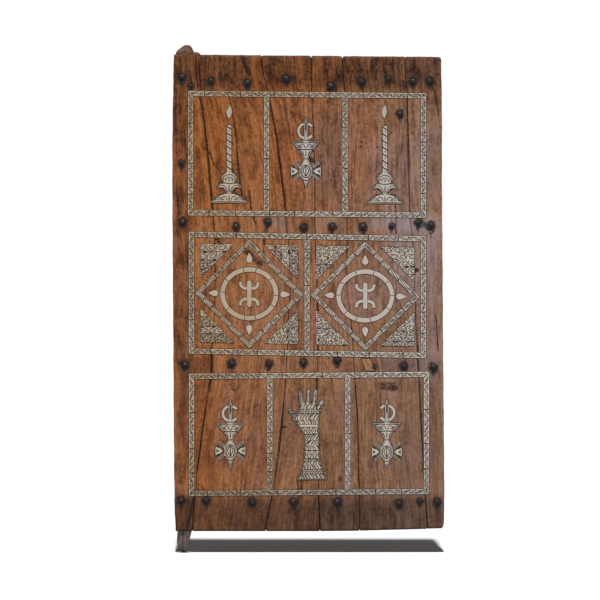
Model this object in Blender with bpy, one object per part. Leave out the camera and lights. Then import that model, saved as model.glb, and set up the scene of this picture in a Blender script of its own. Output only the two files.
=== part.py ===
"""Inlaid plank door that swings on two wooden pivots: metres, +Z up, decorated face towards -Y.

The origin lies on the pivot axis at the underside of the sill socket. A pivot stile and five
planks with grown, wandering edges lie side by side. Four battens behind them are housed in the
stile and held by clenched iron nails. Three panels of bone inlay are let into the front.
"""
import math

import bmesh
import bpy
from mathutils import Vector

# Fits
FIT_GAP = 0.0003
SEAM_GAP = 0.0012
CUT_OVERRUN = 0.004
SHARPEST_MITRE = 0.4

# Collection of the cutters
RECESSES = "recesses"

# Sill socket and the pivots of the stile
SOCKET_RADIUS = 0.032
SOCKET_HEIGHT = 0.015
SOCKET_CHAMFER = 0.003
DISH_DEPTH = 0.006
TIP_RADIUS = 0.009
FOOT_RADIUS = 0.027
FOOT_HEIGHT = 0.0802
HEAD_RADIUS = 0.032
HEAD_HEIGHT = 0.036
PIVOT_ROOT = 0.020
PIVOT_ROOT_SHARE = 0.4
PIVOT_SIDES = 16
FOOT_FULL_AT = 0.45
FOOT_SWELL = 0.7
FOOT_LEVELS = (0.0, 0.12, 0.4)
HEAD_DOME = ((1.0, 0.25), (0.9, 0.6), (0.6, 0.9), (0.3, 1.0))

# Leaf: heights, thicknesses and the planks' widths along the lower edge
LEAF_HEIGHT = 1.7735
STILE_THICKNESS = 0.064
PLANK_THICKNESS = 0.038
HINGE_EDGE = 0.0435
STILE_REACH = 0.030
PLANK_1_WIDTH = 0.269
PLANK_2_WIDTH = 0.207
PLANK_3_WIDTH = 0.147
PLANK_4_WIDTH = 0.253
PLANK_5_WIDTH = 0.060
TOP_FALL = 0.009
FOOT_RISE = 0.0115
FOOT_CORNER = 0.010
EDGE_STEPS = 26

# How far each long edge wanders sideways from its place at the lower edge
HINGE_SWAY = 0.0125
SEAM_1_SWAY = 0.085
SEAM_2_SWAY = 0.099
SEAM_3_SWAY = -0.034
SEAM_4_SWAY = -0.066
SEAM_5_SWAY = -0.086
FREE_SWAY = -0.010

# The wandering of each edge, as pairs: share of the leaf's height, share of its sway
HINGE_SHAPE = ((0.0, 1.0), (0.055, 0.64), (0.35, 0.32), (0.80, 0.0), (0.98, 0.36), (1.0, 0.4))
SEAM_1_SHAPE = ((0.0, 0.0), (0.10, 0.17), (0.20, 0.435), (0.275, 0.635), (0.32, 0.83), (0.37, 0.85),
                (0.485, 1.0), (0.645, 0.955), (0.80, 0.675), (0.89, 0.435), (0.94, 0.216), (1.0, 0.15))
SEAM_2_SHAPE = ((0.0, 0.0), (0.085, 0.32), (0.16, 0.545), (0.32, 0.80), (0.46, 0.914), (0.535, 1.0),
                (0.61, 0.89), (0.77, 0.586), (0.91, 0.19), (0.95, -0.014), (1.0, -0.127))
SEAM_3_SHAPE = ((0.0, 0.0), (0.10, 0.18), (0.30, 0.38), (0.36, 0.22), (0.475, 0.276), (0.63, 0.56),
                (0.74, 0.56), (0.91, 0.88), (1.0, 1.0))
SEAM_4_SHAPE = ((0.0, 0.0), (0.13, 0.03), (0.235, 0.11), (0.36, 0.33), (0.43, 0.447), (0.51, 0.71),
                (0.64, 0.69), (0.91, 0.82), (1.0, 1.0))
SEAM_5_SHAPE = ((0.0, 0.0), (0.085, 0.11), (0.19, 0.244), (0.39, 0.456), (0.49, 0.547), (0.57, 0.56),
                (0.655, 0.76), (0.77, 0.80), (0.906, 0.888), (1.0, 1.0))
FREE_SHAPE = ((0.0, 0.0), (0.065, -0.3), (0.38, 0.18), (0.485, 0.30), (0.76, 0.62), (0.865, 0.60),
              (1.0, 0.96))

# Battens
BATTEN_HEIGHT = 0.080
BATTEN_THICKNESS = 0.042
BATTEN_HINGE_STOP = 0.010
BATTEN_FREE_STOP = 0.004
BATTEN_CHAMFER = 0.008

# Clenched nails
NAIL_SHANK_RADIUS = 0.0035
NAIL_HEAD_RADIUS = 0.0115
NAIL_HEAD_HEIGHT = 0.0065
NAIL_CLENCH = 0.024
NAIL_FACE_SHARE = 0.45
NAIL_SHOULDER_SHARE = 0.9
NAIL_SIDES = 8

# Panels: the rails between them, their margins, and how they were laid out of true
TOP_RAIL = 0.1387
UPPER_RAIL = 0.063
LOWER_RAIL = 0.0614
BOTTOM_RAIL = 0.1338
UPPER_PANEL_SHARE = 0.3377
MIDDLE_PANEL_SHARE = 0.3307
PANEL_LEFT_MARGIN = 0.062
PANEL_RIGHT_MARGIN = 0.0595
UPPER_SHIFT = -0.0049
MIDDLE_SHIFT = -0.0033
LOWER_SHIFT = 0.0025
UPPER_SPREAD = -0.001
MIDDLE_SPREAD = -0.004
LOWER_SPREAD = 0.007
UPPER_TILT = -0.0085
MIDDLE_TILT = -0.0165
LOWER_TILT = 0.0075
UPPER_DIVIDER_SHIFTS = (-0.006, -0.003)
MIDDLE_DIVIDER_SHIFTS = (-0.0013,)
LOWER_DIVIDER_SHIFTS = (0.0, -0.0017)
TOP_NAIL_RISE = 0.040
BOTTOM_NAIL_DROP = 0.026

# Bone inlay
INLAY_THICKNESS = 0.003
INLAY_PROUD = 0.0005
BAND_WIDTH = 0.021
LOZENGE_BAND = 0.0175
LOZENGE_TIP_GAP = 0.0025
RING_WIDTH = 0.216
RING_HEIGHT = 0.198
RING_BAND = 0.018
RING_SEGMENTS = 40
TEARDROP_LENGTH = 0.034
TEARDROP_WIDTH = 0.020
TEARDROP_GAP = 0.009
TEARDROP_SHARPNESS = 1.4
CORNER_BAND_GAP = 0.022
CORNER_LOZENGE_GAP = 0.025
YAZ_HEIGHT = 0.100
YAZ_STEM_WIDTH = 0.0167
YAZ_SPREAD = 0.066
YAZ_ARM_WIDTH = 0.0112
YAZ_ARM_RISE = 0.025
YAZ_ARM_OFFSET = 0.0187
YAZ_ARM_BEND = 0.7

# Candlesticks
STICK_LIFT = 0.031
STICK_HEIGHT = 0.110
STICK_WIDTH = 0.126
STICK_ARM_WIDTH = 0.015
STICK_ARM_TAPER = 0.8
CANDLE_WIDTH = 0.0175
FLAME_GAP = 0.020
FLAME_LENGTH = 0.056
FLAME_WIDTH = 0.0215
FLAME_TOP_GAP = 0.022
FLAME_SHARPNESS = 0.2
FLAME_POINT = 1.5
STICK_PROFILE = ((1.0, 0.0), (1.0, 0.05), (0.83, 0.12), (0.66, 0.20), (0.60, 0.265), (0.13, 0.275),
                 (0.13, 0.39), (0.31, 0.52), (0.34, 0.70), (0.44, 0.79), (0.425, 0.875), (0.32, 0.955),
                 (0.16, 0.99))
STICK_ARM = ((0.0, 0.56), (0.24, 0.60), (0.44, 0.635), (0.62, 0.605), (0.725, 0.51))

# Fibulas
FIBULA_MARGIN = 0.080
UPPER_FIBULA_RISE = 0.008
FIBULA_WIDTH = 0.104
FIBULA_TAIL = ((0.03, 0.0), (0.13, 0.09))
FIBULA_TOP = ((0.135, 0.43), (0.56, 0.545), (0.62, 0.56), (1.0, 0.66), (0.14, 0.675), (0.135, 0.83),
              (0.085, 0.92), (0.02, 1.0))
EGG_WIDTH = 0.049
EGG_PLACE = 0.266
EGG_REACH = 0.143
EGG_STEP = math.radians(20)
WING_WIDTH = 0.122
WING_REACH = 0.098
WING_ROOT = 0.3
CRESCENT_PLACE = 0.809
CRESCENT_RADIUS = 0.0245
CRESCENT_BAND = 0.008
CRESCENT_OPENING = math.radians(70)

# Open hand, as shares of half its width and of its height, from the cuff round by the thumb
HAND_MARGIN = 0.038
HAND_WIDTH = 0.148
HAND_SHIFT = 0.006
HAND_OUTLINE = ((-0.68, 0.0), (-0.51, 0.055), (-0.38, 0.17), (-0.32, 0.28), (-0.30, 0.42), (-0.40, 0.52),
                (-0.56, 0.575), (-0.92, 0.66), (-1.12, 0.76), (-1.13, 0.782), (-1.02, 0.77),
                (-0.86, 0.735), (-0.72, 0.715), (-0.59, 0.74), (-0.54, 0.82), (-0.60, 0.95),
                (-0.55, 0.975), (-0.46, 0.95), (-0.36, 0.855), (-0.28, 0.83), (-0.21, 0.86),
                (-0.20, 0.98), (-0.12, 1.0), (-0.045, 0.985), (-0.03, 0.83), (0.02, 0.825),
                (0.09, 0.85), (0.15, 0.965), (0.21, 0.99), (0.31, 0.975), (0.30, 0.88),
                (0.235, 0.815), (0.28, 0.785), (0.39, 0.825), (0.48, 0.865), (0.59, 0.872),
                (0.65, 0.855), (0.58, 0.80), (0.48, 0.755), (0.40, 0.71), (0.385, 0.62), (0.37, 0.535),
                (0.41, 0.49), (0.41, 0.325), (0.44, 0.235), (0.52, 0.145), (0.64, 0.06), (0.82, 0.0))

# Repair let into plank 4, between the middle and lower panels
PATCH_WIDTH = 0.036
PATCH_LEAN = 0.018
PATCH_RAIL_GAP = 0.004
PATCH_THICKNESS = 0.010
PATCH_PLACE = 0.22

# Nails in each batten: plank (0 is the stile), share of its width there, rise above the batten's middle
NAIL_PLACES = {
    "top": ((0, 0.38, 0.015), (1, 0.74, -0.007), (3, 0.57, -0.019), (5, 0.67, 0.0)),
    "upper": ((0, 0.25, 0.012), (2, 0.60, -0.009), (4, 0.25, -0.007), (5, 0.64, -0.002)),
    "lower": ((1, 0.27, 0.003), (3, 0.54, 0.016), (5, 0.61, -0.011)),
    "bottom": ((0, 0.35, 0.008), (2, 0.475, 0.001), (4, 0.595, -0.004), (5, 0.61, 0.001)),
}

# Levels worked out from the sizes above
FRONT = -STILE_THICKNESS / 2
PLANK_BACK = FRONT + PLANK_THICKNESS
BATTEN_BACK = PLANK_BACK + FIT_GAP + BATTEN_THICKNESS
SILL = SOCKET_HEIGHT
LEAF_FOOT = SILL + FOOT_HEIGHT
LEAF_TOP = LEAF_FOOT + LEAF_HEIGHT
FREE_EDGE = STILE_REACH + PLANK_1_WIDTH + PLANK_2_WIDTH + PLANK_3_WIDTH + PLANK_4_WIDTH + PLANK_5_WIDTH
PANELS_HEIGHT = LEAF_HEIGHT - TOP_RAIL - UPPER_RAIL - LOWER_RAIL - BOTTOM_RAIL
UPPER_HEIGHT = PANELS_HEIGHT * UPPER_PANEL_SHARE
MIDDLE_HEIGHT = PANELS_HEIGHT * MIDDLE_PANEL_SHARE
LOWER_HEIGHT = PANELS_HEIGHT - UPPER_HEIGHT - MIDDLE_HEIGHT
LOWER_FOOT = LEAF_FOOT + BOTTOM_RAIL
MIDDLE_FOOT = LOWER_FOOT + LOWER_HEIGHT + LOWER_RAIL
UPPER_FOOT = MIDDLE_FOOT + MIDDLE_HEIGHT + UPPER_RAIL
BATTEN_HEIGHTS = {
    "top": UPPER_FOOT + UPPER_HEIGHT + TOP_NAIL_RISE,
    "upper": UPPER_FOOT - UPPER_RAIL / 2,
    "lower": MIDDLE_FOOT - LOWER_RAIL / 2,
    "bottom": LOWER_FOOT - BOTTOM_NAIL_DROP,
}


def clear_scene():
    """Take away whatever the file holds."""
    for old in list(bpy.data.objects):
        bpy.data.objects.remove(old, do_unlink=True)
    for old in list(bpy.data.collections):
        bpy.data.collections.remove(old)


def finish(name, colour, roughness, metallic=0.0):
    """Principled material of one colour."""
    made = bpy.data.materials.new(name)
    made.use_nodes = True
    shader = made.node_tree.nodes["Principled BSDF"]
    shader.inputs["Base Color"].default_value = (*colour, 1.0)
    shader.inputs["Roughness"].default_value = roughness
    shader.inputs["Metallic"].default_value = metallic
    return made


def new_object(name, shape, material=None):
    """Object from a bmesh with its faces turned outwards, a cutter where it has no material."""
    bmesh.ops.recalc_face_normals(shape, faces=shape.faces)
    mesh = bpy.data.meshes.new(name)
    shape.to_mesh(mesh)
    shape.free()
    made = bpy.data.objects.new(name, mesh)
    bpy.context.scene.collection.objects.link(made)
    if material is None:
        made.hide_render = True
        made.display_type = 'WIRE'
    else:
        mesh.materials.append(material)
    return made


def slab(name, points, faces, near, far, material=None):
    """Flat plate: (x, z) points and faces drawn at depth near, extruded to depth far."""
    shape = bmesh.new()
    verts = [shape.verts.new((x, near, z)) for x, z in points]
    drawn = [shape.faces.new([verts[i] for i in face]) for face in faces]
    pushed = bmesh.ops.extrude_face_region(shape, geom=drawn)["geom"]
    moved = [part for part in pushed if isinstance(part, bmesh.types.BMVert)]
    bmesh.ops.translate(shape, verts=moved, vec=(0, far - near, 0))
    return new_object(name, shape, material)


def recess(name, points, faces, near, far):
    """Cutter kept with the others, by all of which each board is cut."""
    held = bpy.data.collections.get(RECESSES)
    if held is None:
        held = bpy.data.collections.new(RECESSES)
        bpy.context.scene.collection.children.link(held)
    held.objects.link(slab(name, points, faces, near, far))


def loft(name, rings, material=None):
    """Closed body through rings of equal count, with a flat cap at each end."""
    shape = bmesh.new()
    loops = [[shape.verts.new(point) for point in ring] for ring in rings]
    for low, high in zip(loops, loops[1:]):
        for i, corner in enumerate(low):
            after = (i + 1) % len(low)
            shape.faces.new((corner, low[after], high[after], high[i]))
    shape.faces.new(reversed(loops[0]))
    shape.faces.new(loops[-1])
    return new_object(name, shape, material)


def round_shaded(made, angle=math.radians(40)):
    """Smooth shading with the sharp edges kept."""
    made.data.shade_smooth()
    made.data.set_sharp_from_angle(angle=angle)
    return made


def combine(made, other, operation):
    """Boolean of a body with a cutter or guide."""
    step = made.modifiers.new(other.name, 'BOOLEAN')
    step.operation = operation
    step.solver = 'EXACT'
    step.object = other


def along(shape, place):
    """Value at a place on a smooth curve through pairs of place and value."""
    if place <= shape[0][0]:
        return shape[0][1]
    if place >= shape[-1][0]:
        return shape[-1][1]
    right = next(i for i, pair in enumerate(shape) if pair[0] > place)
    left = right - 1

    def slope(i):
        low, high = shape[max(i - 1, 0)], shape[min(i + 1, len(shape) - 1)]
        return (high[1] - low[1]) / (high[0] - low[0])

    (place_0, value_0), (place_1, value_1) = shape[left], shape[right]
    span = place_1 - place_0
    t = (place - place_0) / span
    ease = t * t * (3 - 2 * t)
    bend = slope(left) * span * t * (1 - t) ** 2 - slope(right) * span * t * t * (1 - t)
    return value_0 + (value_1 - value_0) * ease + bend


def edge_at(index, height):
    """Sideways place of long edge 0 (hinge side) to 6 (free side) at a height."""
    widths = (STILE_REACH, PLANK_1_WIDTH, PLANK_2_WIDTH, PLANK_3_WIDTH, PLANK_4_WIDTH, PLANK_5_WIDTH)
    sways = (HINGE_SWAY, SEAM_1_SWAY, SEAM_2_SWAY, SEAM_3_SWAY, SEAM_4_SWAY, SEAM_5_SWAY, FREE_SWAY)
    shapes = (HINGE_SHAPE, SEAM_1_SHAPE, SEAM_2_SHAPE, SEAM_3_SHAPE, SEAM_4_SHAPE, SEAM_5_SHAPE, FREE_SHAPE)
    start = sum(widths[:index]) if index else -HINGE_EDGE
    share = (height - LEAF_FOOT) / LEAF_HEIGHT
    return start + sways[index] * along(shapes[index], share)


def top_at(x):
    """Height of the leaf's upper edge, which falls towards the free side."""
    return LEAF_TOP - TOP_FALL * max(x, 0) / FREE_EDGE


def foot_at(x):
    """Height of the leaf's lower edge, worn away towards the free side."""
    return LEAF_FOOT + FOOT_RISE * max(2 * x / FREE_EDGE - 1, 0) ** 2


def fillet(points, corner, radius, steps=3):
    """Outline with one corner rounded."""
    here = Vector(points[corner])
    before = (Vector(points[corner - 1]) - here).normalized()
    after = (Vector(points[(corner + 1) % len(points)]) - here).normalized()
    arc = []
    for i in range(steps + 1):
        t = i / steps
        spot = here + radius * (before * (1 - t) ** 2 + after * t ** 2)
        arc.append(tuple(spot))
    return points[:corner] + arc + points[corner + 1:]


def plank_outline(index):
    """Front outline of plank 1 to 5, or of the stile as 0, anticlockwise from its lower left corner."""
    left_gap = SEAM_GAP / 2 if index else 0
    right_gap = SEAM_GAP / 2 if index < 5 else 0
    sides = []
    for edge, shift in ((index + 1, -right_gap), (index, left_gap)):
        low = foot_at(edge_at(edge, LEAF_FOOT) + shift)
        high = top_at(edge_at(edge, LEAF_TOP) + shift)
        heights = [low + (high - low) * i / EDGE_STEPS for i in range(EDGE_STEPS + 1)]
        sides.append([(edge_at(edge, height) + shift, height) for height in heights])
    right_side, left_side = sides
    outline = right_side + left_side[::-1]
    if index == 5:
        outline = fillet(outline, 0, FOOT_CORNER)
    return outline


def grown(outline, margin):
    """Outline moved outwards by a margin, with mitred corners."""
    if not margin:
        return list(outline)
    count = len(outline)
    area = sum(outline[i - 1][0] * outline[i][1] - outline[i][0] * outline[i - 1][1] for i in range(count))
    turn = 1 if area > 0 else -1
    moved = []
    for i in range(count):
        here = Vector(outline[i])
        into = (here - Vector(outline[i - 1])).normalized()
        out = (Vector(outline[(i + 1) % count]) - here).normalized()
        normal_in = Vector((into.y, -into.x)) * turn
        normal_out = Vector((out.y, -out.x)) * turn
        middle = (normal_in + normal_out).normalized()
        reach = margin / max(middle.dot(normal_in), SHARPEST_MITRE)
        moved.append(tuple(here + middle * reach))
    return moved


def ellipse(centre, width, height, segments):
    """Points round an ellipse."""
    turns = [2 * math.pi * i / segments for i in range(segments)]
    return [(centre[0] + width / 2 * math.cos(t), centre[1] + height / 2 * math.sin(t)) for t in turns]


def strip(path, widths):
    """Outline of a flat strip along a path, with a width at each point."""
    left, right = [], []
    for i, spot in enumerate(path):
        ahead = Vector(path[min(i + 1, len(path) - 1)]) - Vector(path[max(i - 1, 0)])
        side = Vector((-ahead.y, ahead.x)).normalized() * widths[i] / 2
        left.append(tuple(Vector(spot) + side))
        right.append(tuple(Vector(spot) - side))
    return right + left[::-1]


def drop(length, width, sharpness, point=1.0, steps=8):
    """Outline of a drop with its point up, about its middle; a larger point thins both its ends."""
    turns = [math.pi * i / steps for i in range(1, steps)]
    swells = [math.sin(turn) ** point * math.sin(turn / 2) ** sharpness for turn in turns]
    fullest = max(swells)
    side = [(width / 2 * swell / fullest, length / 2 * math.cos(turn)) for swell, turn in zip(swells, turns)]
    mirrored = [(-x, z) for x, z in reversed(side)]
    return [(0, length / 2)] + side + [(0, -length / 2)] + mirrored


class Panel:
    """One inlaid panel: its box, its tilt and the compartments between its bands."""

    def __init__(self, name, foot, height, shift, spread, tilt, divider_shifts):
        self.name = name
        self.left = PANEL_LEFT_MARGIN - HINGE_EDGE + shift - spread / 2
        self.right = FREE_EDGE - PANEL_RIGHT_MARGIN + shift + spread / 2
        self.foot = foot
        self.top = foot + height
        self.tilt = tilt
        step = (self.right - self.left) / (len(divider_shifts) + 1)
        self.dividers = [self.left + step * i + moved for i, moved in enumerate(divider_shifts, start=1)]

    def slanted(self, points):
        """Points drawn square, laid out of true like the panel."""
        middle = (self.left + self.right) / 2
        slope = self.tilt / (self.right - self.left)
        return [(x, z + slope * (x - middle)) for x, z in points]

    def compartment(self, index):
        """Clear box inside the bands: left, right, foot, top."""
        walls = [self.left + BAND_WIDTH / 2, *self.dividers, self.right - BAND_WIDTH / 2]
        half = BAND_WIDTH / 2
        return walls[index] + half, walls[index + 1] - half, self.foot + BAND_WIDTH, self.top - BAND_WIDTH


def inlay(name, plates, material, panel):
    """Bone piece from overlapping plates, each a (points, faces) pair per margin, and its recess."""
    near = FRONT - INLAY_PROUD
    far = near + INLAY_THICKNESS
    for i, plate in enumerate(plates):
        points, faces = plate(0)
        if i == 0:
            made = slab(name, panel.slanted(points), faces, near, far, material)
        else:
            combine(made, slab(f"{name}_join_{i}", panel.slanted(points), faces, near, far), 'UNION')
        points, faces = plate(FIT_GAP)
        recess(f"{name}_recess_{i}", panel.slanted(points), faces, near - CUT_OVERRUN, far + FIT_GAP)
    return made


def solid_plate(outline):
    """Plate with one outline."""
    return lambda margin: (grown(outline, margin), [list(range(len(outline)))])


def ring_plate(outer, inner):
    """Plate between two outlines of equal count."""
    count = len(outer)
    faces = [[i, (i + 1) % count, count + (i + 1) % count, count + i] for i in range(count)]
    return lambda margin: (grown(outer, margin) + grown(inner, -margin), faces)


def border_plate(panel):
    """Mitred bands round a panel with its dividers, as one grid of cells."""
    def plate(margin):
        half = BAND_WIDTH / 2 + margin
        middles = [panel.left + BAND_WIDTH / 2, *panel.dividers, panel.right - BAND_WIDTH / 2]
        columns = [x for middle in middles for x in (middle - half, middle + half)]
        rows = [z for middle in (panel.foot + BAND_WIDTH / 2, panel.top - BAND_WIDTH / 2)
                for z in (middle - half, middle + half)]
        points = [(x, z) for z in rows for x in columns]
        across = len(columns)
        faces = []
        for row in range(len(rows) - 1):
            for column in range(across - 1):
                if column % 2 == 0 or row % 2 == 0:
                    corner = row * across + column
                    faces.append([corner, corner + 1, corner + across + 1, corner + across])
        return points, faces
    return plate


def lozenge_panel(panel, bone, plain_bone):
    """Middle panel: a lozenge, ring, sign, four drops and four corner pieces on each side."""
    for index, side in enumerate(("left", "right")):
        left, right, foot, top = panel.compartment(index)
        middle = ((left + right) / 2, (foot + top) / 2)
        across = (right - left) / 2 - LOZENGE_TIP_GAP
        up = (top - foot) / 2 - LOZENGE_TIP_GAP
        lozenge = [(middle[0] + across, middle[1]), (middle[0], middle[1] + up),
                   (middle[0] - across, middle[1]), (middle[0], middle[1] - up)]
        inlay(f"lozenge_{side}", [ring_plate(lozenge, grown(lozenge, -LOZENGE_BAND))], bone, panel)
        outer = ellipse(middle, RING_WIDTH, RING_HEIGHT, RING_SEGMENTS)
        inner = ellipse(middle, RING_WIDTH - 2 * RING_BAND, RING_HEIGHT - 2 * RING_BAND, RING_SEGMENTS)
        inlay(f"ring_{side}", [ring_plate(outer, inner)], plain_bone, panel)
        yaz_sign(f"yaz_{side}", middle, plain_bone, panel)
        reach = RING_WIDTH / 2 + TEARDROP_GAP + TEARDROP_LENGTH / 2
        for quarter, way in enumerate(("top", "left", "bottom", "right")):
            turn = quarter * math.pi / 2
            tear = [(x * math.cos(turn) - (z + reach) * math.sin(turn) + middle[0],
                     x * math.sin(turn) + (z + reach) * math.cos(turn) + middle[1])
                    for x, z in drop(TEARDROP_LENGTH, TEARDROP_WIDTH, TEARDROP_SHARPNESS)]
            inlay(f"teardrop_{side}_{way}", [solid_plate(tear)], plain_bone, panel)
        slant = math.hypot(across, up)
        inset = CORNER_LOZENGE_GAP * slant
        for x_way, x_name in ((-1, "left"), (1, "right")):
            for z_way, z_name in ((1, "top"), (-1, "foot")):
                corner_x = middle[0] + x_way * (across + LOZENGE_TIP_GAP - CORNER_BAND_GAP)
                corner_z = middle[1] + z_way * (up + LOZENGE_TIP_GAP - CORNER_BAND_GAP)
                past = abs(corner_x - middle[0]) / across + abs(corner_z - middle[1]) / up - 1
                spare = past * across * up
                leg_x = (spare - inset) / up
                leg_z = (spare - inset) / across
                triangle = [(corner_x, corner_z), (corner_x - x_way * leg_x, corner_z),
                            (corner_x, corner_z - z_way * leg_z)]
                inlay(f"corner_{side}_{z_name}_{x_name}", [solid_plate(triangle)], bone, panel)


def yaz_sign(name, middle, material, panel):
    """Upright stem crossed by two curved pairs of arms."""
    half = YAZ_STEM_WIDTH / 2
    straight = YAZ_HEIGHT / 2 - half
    stem = []
    for end, start in ((1, 0), (-1, math.pi)):
        for i in range(5):
            turn = start + math.pi * i / 4
            stem.append((middle[0] + half * math.cos(turn),
                         middle[1] + end * straight + half * math.sin(turn)))
    plates = [solid_plate(stem)]
    for way in (1, -1):
        path = []
        for i in range(-4, 5):
            turn = math.pi / 2 * (1 - abs(i) / 4)
            out = math.copysign(max(math.cos(turn), 0) ** YAZ_ARM_BEND, i) * YAZ_SPREAD / 2
            rise = YAZ_ARM_OFFSET + YAZ_ARM_RISE * (1 - math.sin(turn) ** YAZ_ARM_BEND)
            path.append((middle[0] + out, middle[1] + way * rise))
        plates.append(solid_plate(strip(path, [YAZ_ARM_WIDTH] * len(path))))
    inlay(name, plates, material, panel)


def candlestick(side, box, bone, plain_bone, panel):
    """Candle on a footed stick with two curled arms, and its flame above it."""
    left, right, foot, top = box
    centre = (left + right) / 2
    base = foot + STICK_LIFT
    flame_foot = top - FLAME_TOP_GAP - FLAME_LENGTH
    half = STICK_WIDTH / 2
    profile = [(half * share, base + STICK_HEIGHT * rise) for share, rise in STICK_PROFILE]
    profile += [(CANDLE_WIDTH / 2, base + STICK_HEIGHT), (CANDLE_WIDTH / 2, flame_foot - FLAME_GAP)]
    outline = [(centre + x, z) for x, z in profile] + [(centre - x, z) for x, z in reversed(profile)]
    plates = [solid_plate(outline)]
    for way in (1, -1):
        path = [(centre + way * half * share, base + STICK_HEIGHT * rise) for share, rise in STICK_ARM]
        last = len(path) - 1
        taper = [STICK_ARM_WIDTH * (1 - STICK_ARM_TAPER * (i / last) ** 2) for i in range(len(path))]
        plates.append(solid_plate(strip(path, taper)))
    inlay(f"candlestick_{side}", plates, bone, panel)
    middle = flame_foot + FLAME_LENGTH / 2
    flame = [(centre + x, middle + z) for x, z in drop(FLAME_LENGTH, FLAME_WIDTH, FLAME_SHARPNESS, FLAME_POINT)]
    inlay(f"flame_{side}", [solid_plate(flame)], plain_bone, panel)


def fibula(name, box, rise, opening_side, material, panel):
    """Cloak pin: tail, winged egg, cup and pin, with a broken ring round the pin."""
    left, right, foot, top = box
    centre = (left + right) / 2
    base = foot + FIBULA_MARGIN + rise
    height = top - foot - 2 * FIBULA_MARGIN
    half = FIBULA_WIDTH / 2
    side = [(half * share, base + height * up) for share, up in FIBULA_TAIL]
    for i in range(-3, 4):
        rise = EGG_PLACE + EGG_REACH * math.sin(EGG_STEP * i)
        side.append((EGG_WIDTH / 2 * math.cos(EGG_STEP * i), base + height * rise))
    side += [(half * share, base + height * up) for share, up in FIBULA_TOP]
    plates = [solid_plate([(centre + x, z) for x, z in side] + [(centre - x, z) for x, z in reversed(side)])]
    steps = 12
    sweep = 2 * math.pi - CRESCENT_OPENING
    turns = [CRESCENT_OPENING / 2 + sweep * i / steps for i in range(steps + 1)]
    hub = base + height * CRESCENT_PLACE
    ring = [(centre + opening_side * CRESCENT_RADIUS * math.cos(t), hub + CRESCENT_RADIUS * math.sin(t))
            for t in turns]
    plates.append(solid_plate(strip(ring, [CRESCENT_BAND] * len(ring))))
    waist = base + height * EGG_PLACE
    for way in (1, -1):
        wing = [(centre + way * EGG_WIDTH * WING_ROOT, waist),
                (centre + way * WING_WIDTH / 2, waist - height * WING_REACH),
                (centre + way * WING_WIDTH / 2, waist + height * WING_REACH)]
        plates.append(solid_plate(wing))
    inlay(name, plates, material, panel)


def open_hand(box, material, panel):
    """Open hand on a cuffed forearm."""
    left, right, foot, top = box
    centre = (left + right) / 2 + HAND_SHIFT
    height = top - foot - 2 * HAND_MARGIN
    wrist = foot + HAND_MARGIN
    outline = [(centre + share * HAND_WIDTH / 2, wrist + up * height) for share, up in HAND_OUTLINE]
    inlay("hand", [solid_plate(outline)], material, panel)


def repair_patch(material, middle, lower):
    """Slanted wooden repair set in plank 4 between two panels."""
    height = BATTEN_HEIGHTS["lower"]
    place = edge_at(4, height) + PATCH_PLACE * (edge_at(5, height) - edge_at(4, height))
    foot = lower.slanted([(place, lower.top)])[0][1] + PATCH_RAIL_GAP
    top = middle.slanted([(place, middle.foot)])[0][1] - PATCH_RAIL_GAP
    half = PATCH_WIDTH / 2
    lean = PATCH_LEAN / 2
    outline = [(place - half + lean, foot), (place + half + lean, foot),
               (place + half - lean, top), (place - half - lean, top)]
    faces = [[0, 1, 2, 3]]
    slab("repair_patch", outline, faces, FRONT, FRONT + PATCH_THICKNESS, material)
    floor = FRONT + PATCH_THICKNESS + FIT_GAP
    recess("repair_recess", grown(outline, FIT_GAP), faces, FRONT - CUT_OVERRUN, floor)


def nail_mesh(material):
    """Forged nail about its place on the front: faceted head, shank and a tip clenched sideways."""
    turns = [2 * math.pi * (i + 0.5) / NAIL_SIDES for i in range(NAIL_SIDES)]
    unit = [(math.cos(t), math.sin(t)) for t in turns]
    bend = BATTEN_BACK - FRONT + FIT_GAP + NAIL_SHANK_RADIUS
    levels = ((NAIL_FACE_SHARE, -NAIL_HEAD_HEIGHT), (NAIL_SHOULDER_SHARE, -NAIL_HEAD_HEIGHT / 2),
              (1.0, -FIT_GAP))
    rings = [[(NAIL_HEAD_RADIUS * r * x, y - FIT_GAP, NAIL_HEAD_RADIUS * r * z) for x, z in unit]
             for r, y in levels]
    shank = [(NAIL_SHANK_RADIUS * x, NAIL_SHANK_RADIUS * z) for x, z in unit]
    rings.append([(x, -2 * FIT_GAP, z) for x, z in shank])
    rings.append([(x, bend - x, z) for x, z in shank])
    rings.append([(NAIL_CLENCH, bend - x / 2, z / 2) for x, z in shank])
    pattern = loft("nail_pattern", rings, material)
    mesh = pattern.data
    bpy.data.objects.remove(pattern)
    return mesh


def clenched_nails(material, leaf):
    """Nails through the planks and battens, each with the hole that it needs."""
    mesh = nail_mesh(material)
    for row, places in NAIL_PLACES.items():
        for number, (plank, share, rise) in enumerate(places, start=1):
            height = BATTEN_HEIGHTS[row] + rise
            left, right = edge_at(plank, height), edge_at(plank + 1, height)
            x = left + share * (right - left)
            nail = bpy.data.objects.new(f"nail_{row}_{number}", mesh)
            bpy.context.scene.collection.objects.link(nail)
            nail.location = (x, FRONT, height)
            nail.rotation_euler.y = math.pi if plank else 0.0
            nail.parent = leaf
            half = NAIL_SHANK_RADIUS + FIT_GAP
            hole = [(x - half, height - half), (x + half, height - half),
                    (x + half, height + half), (x - half, height + half)]
            recess(f"{nail.name}_hole", hole, [[0, 1, 2, 3]], FRONT - CUT_OVERRUN,
                   BATTEN_BACK + CUT_OVERRUN)


def cut_recesses(made):
    """Cut the recesses and nail holes that reach a board, all in one step."""
    step = made.modifiers.new(RECESSES, 'BOOLEAN')
    step.operation = 'DIFFERENCE'
    step.solver = 'EXACT'
    step.operand_type = 'COLLECTION'
    step.collection = bpy.data.collections[RECESSES]


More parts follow.
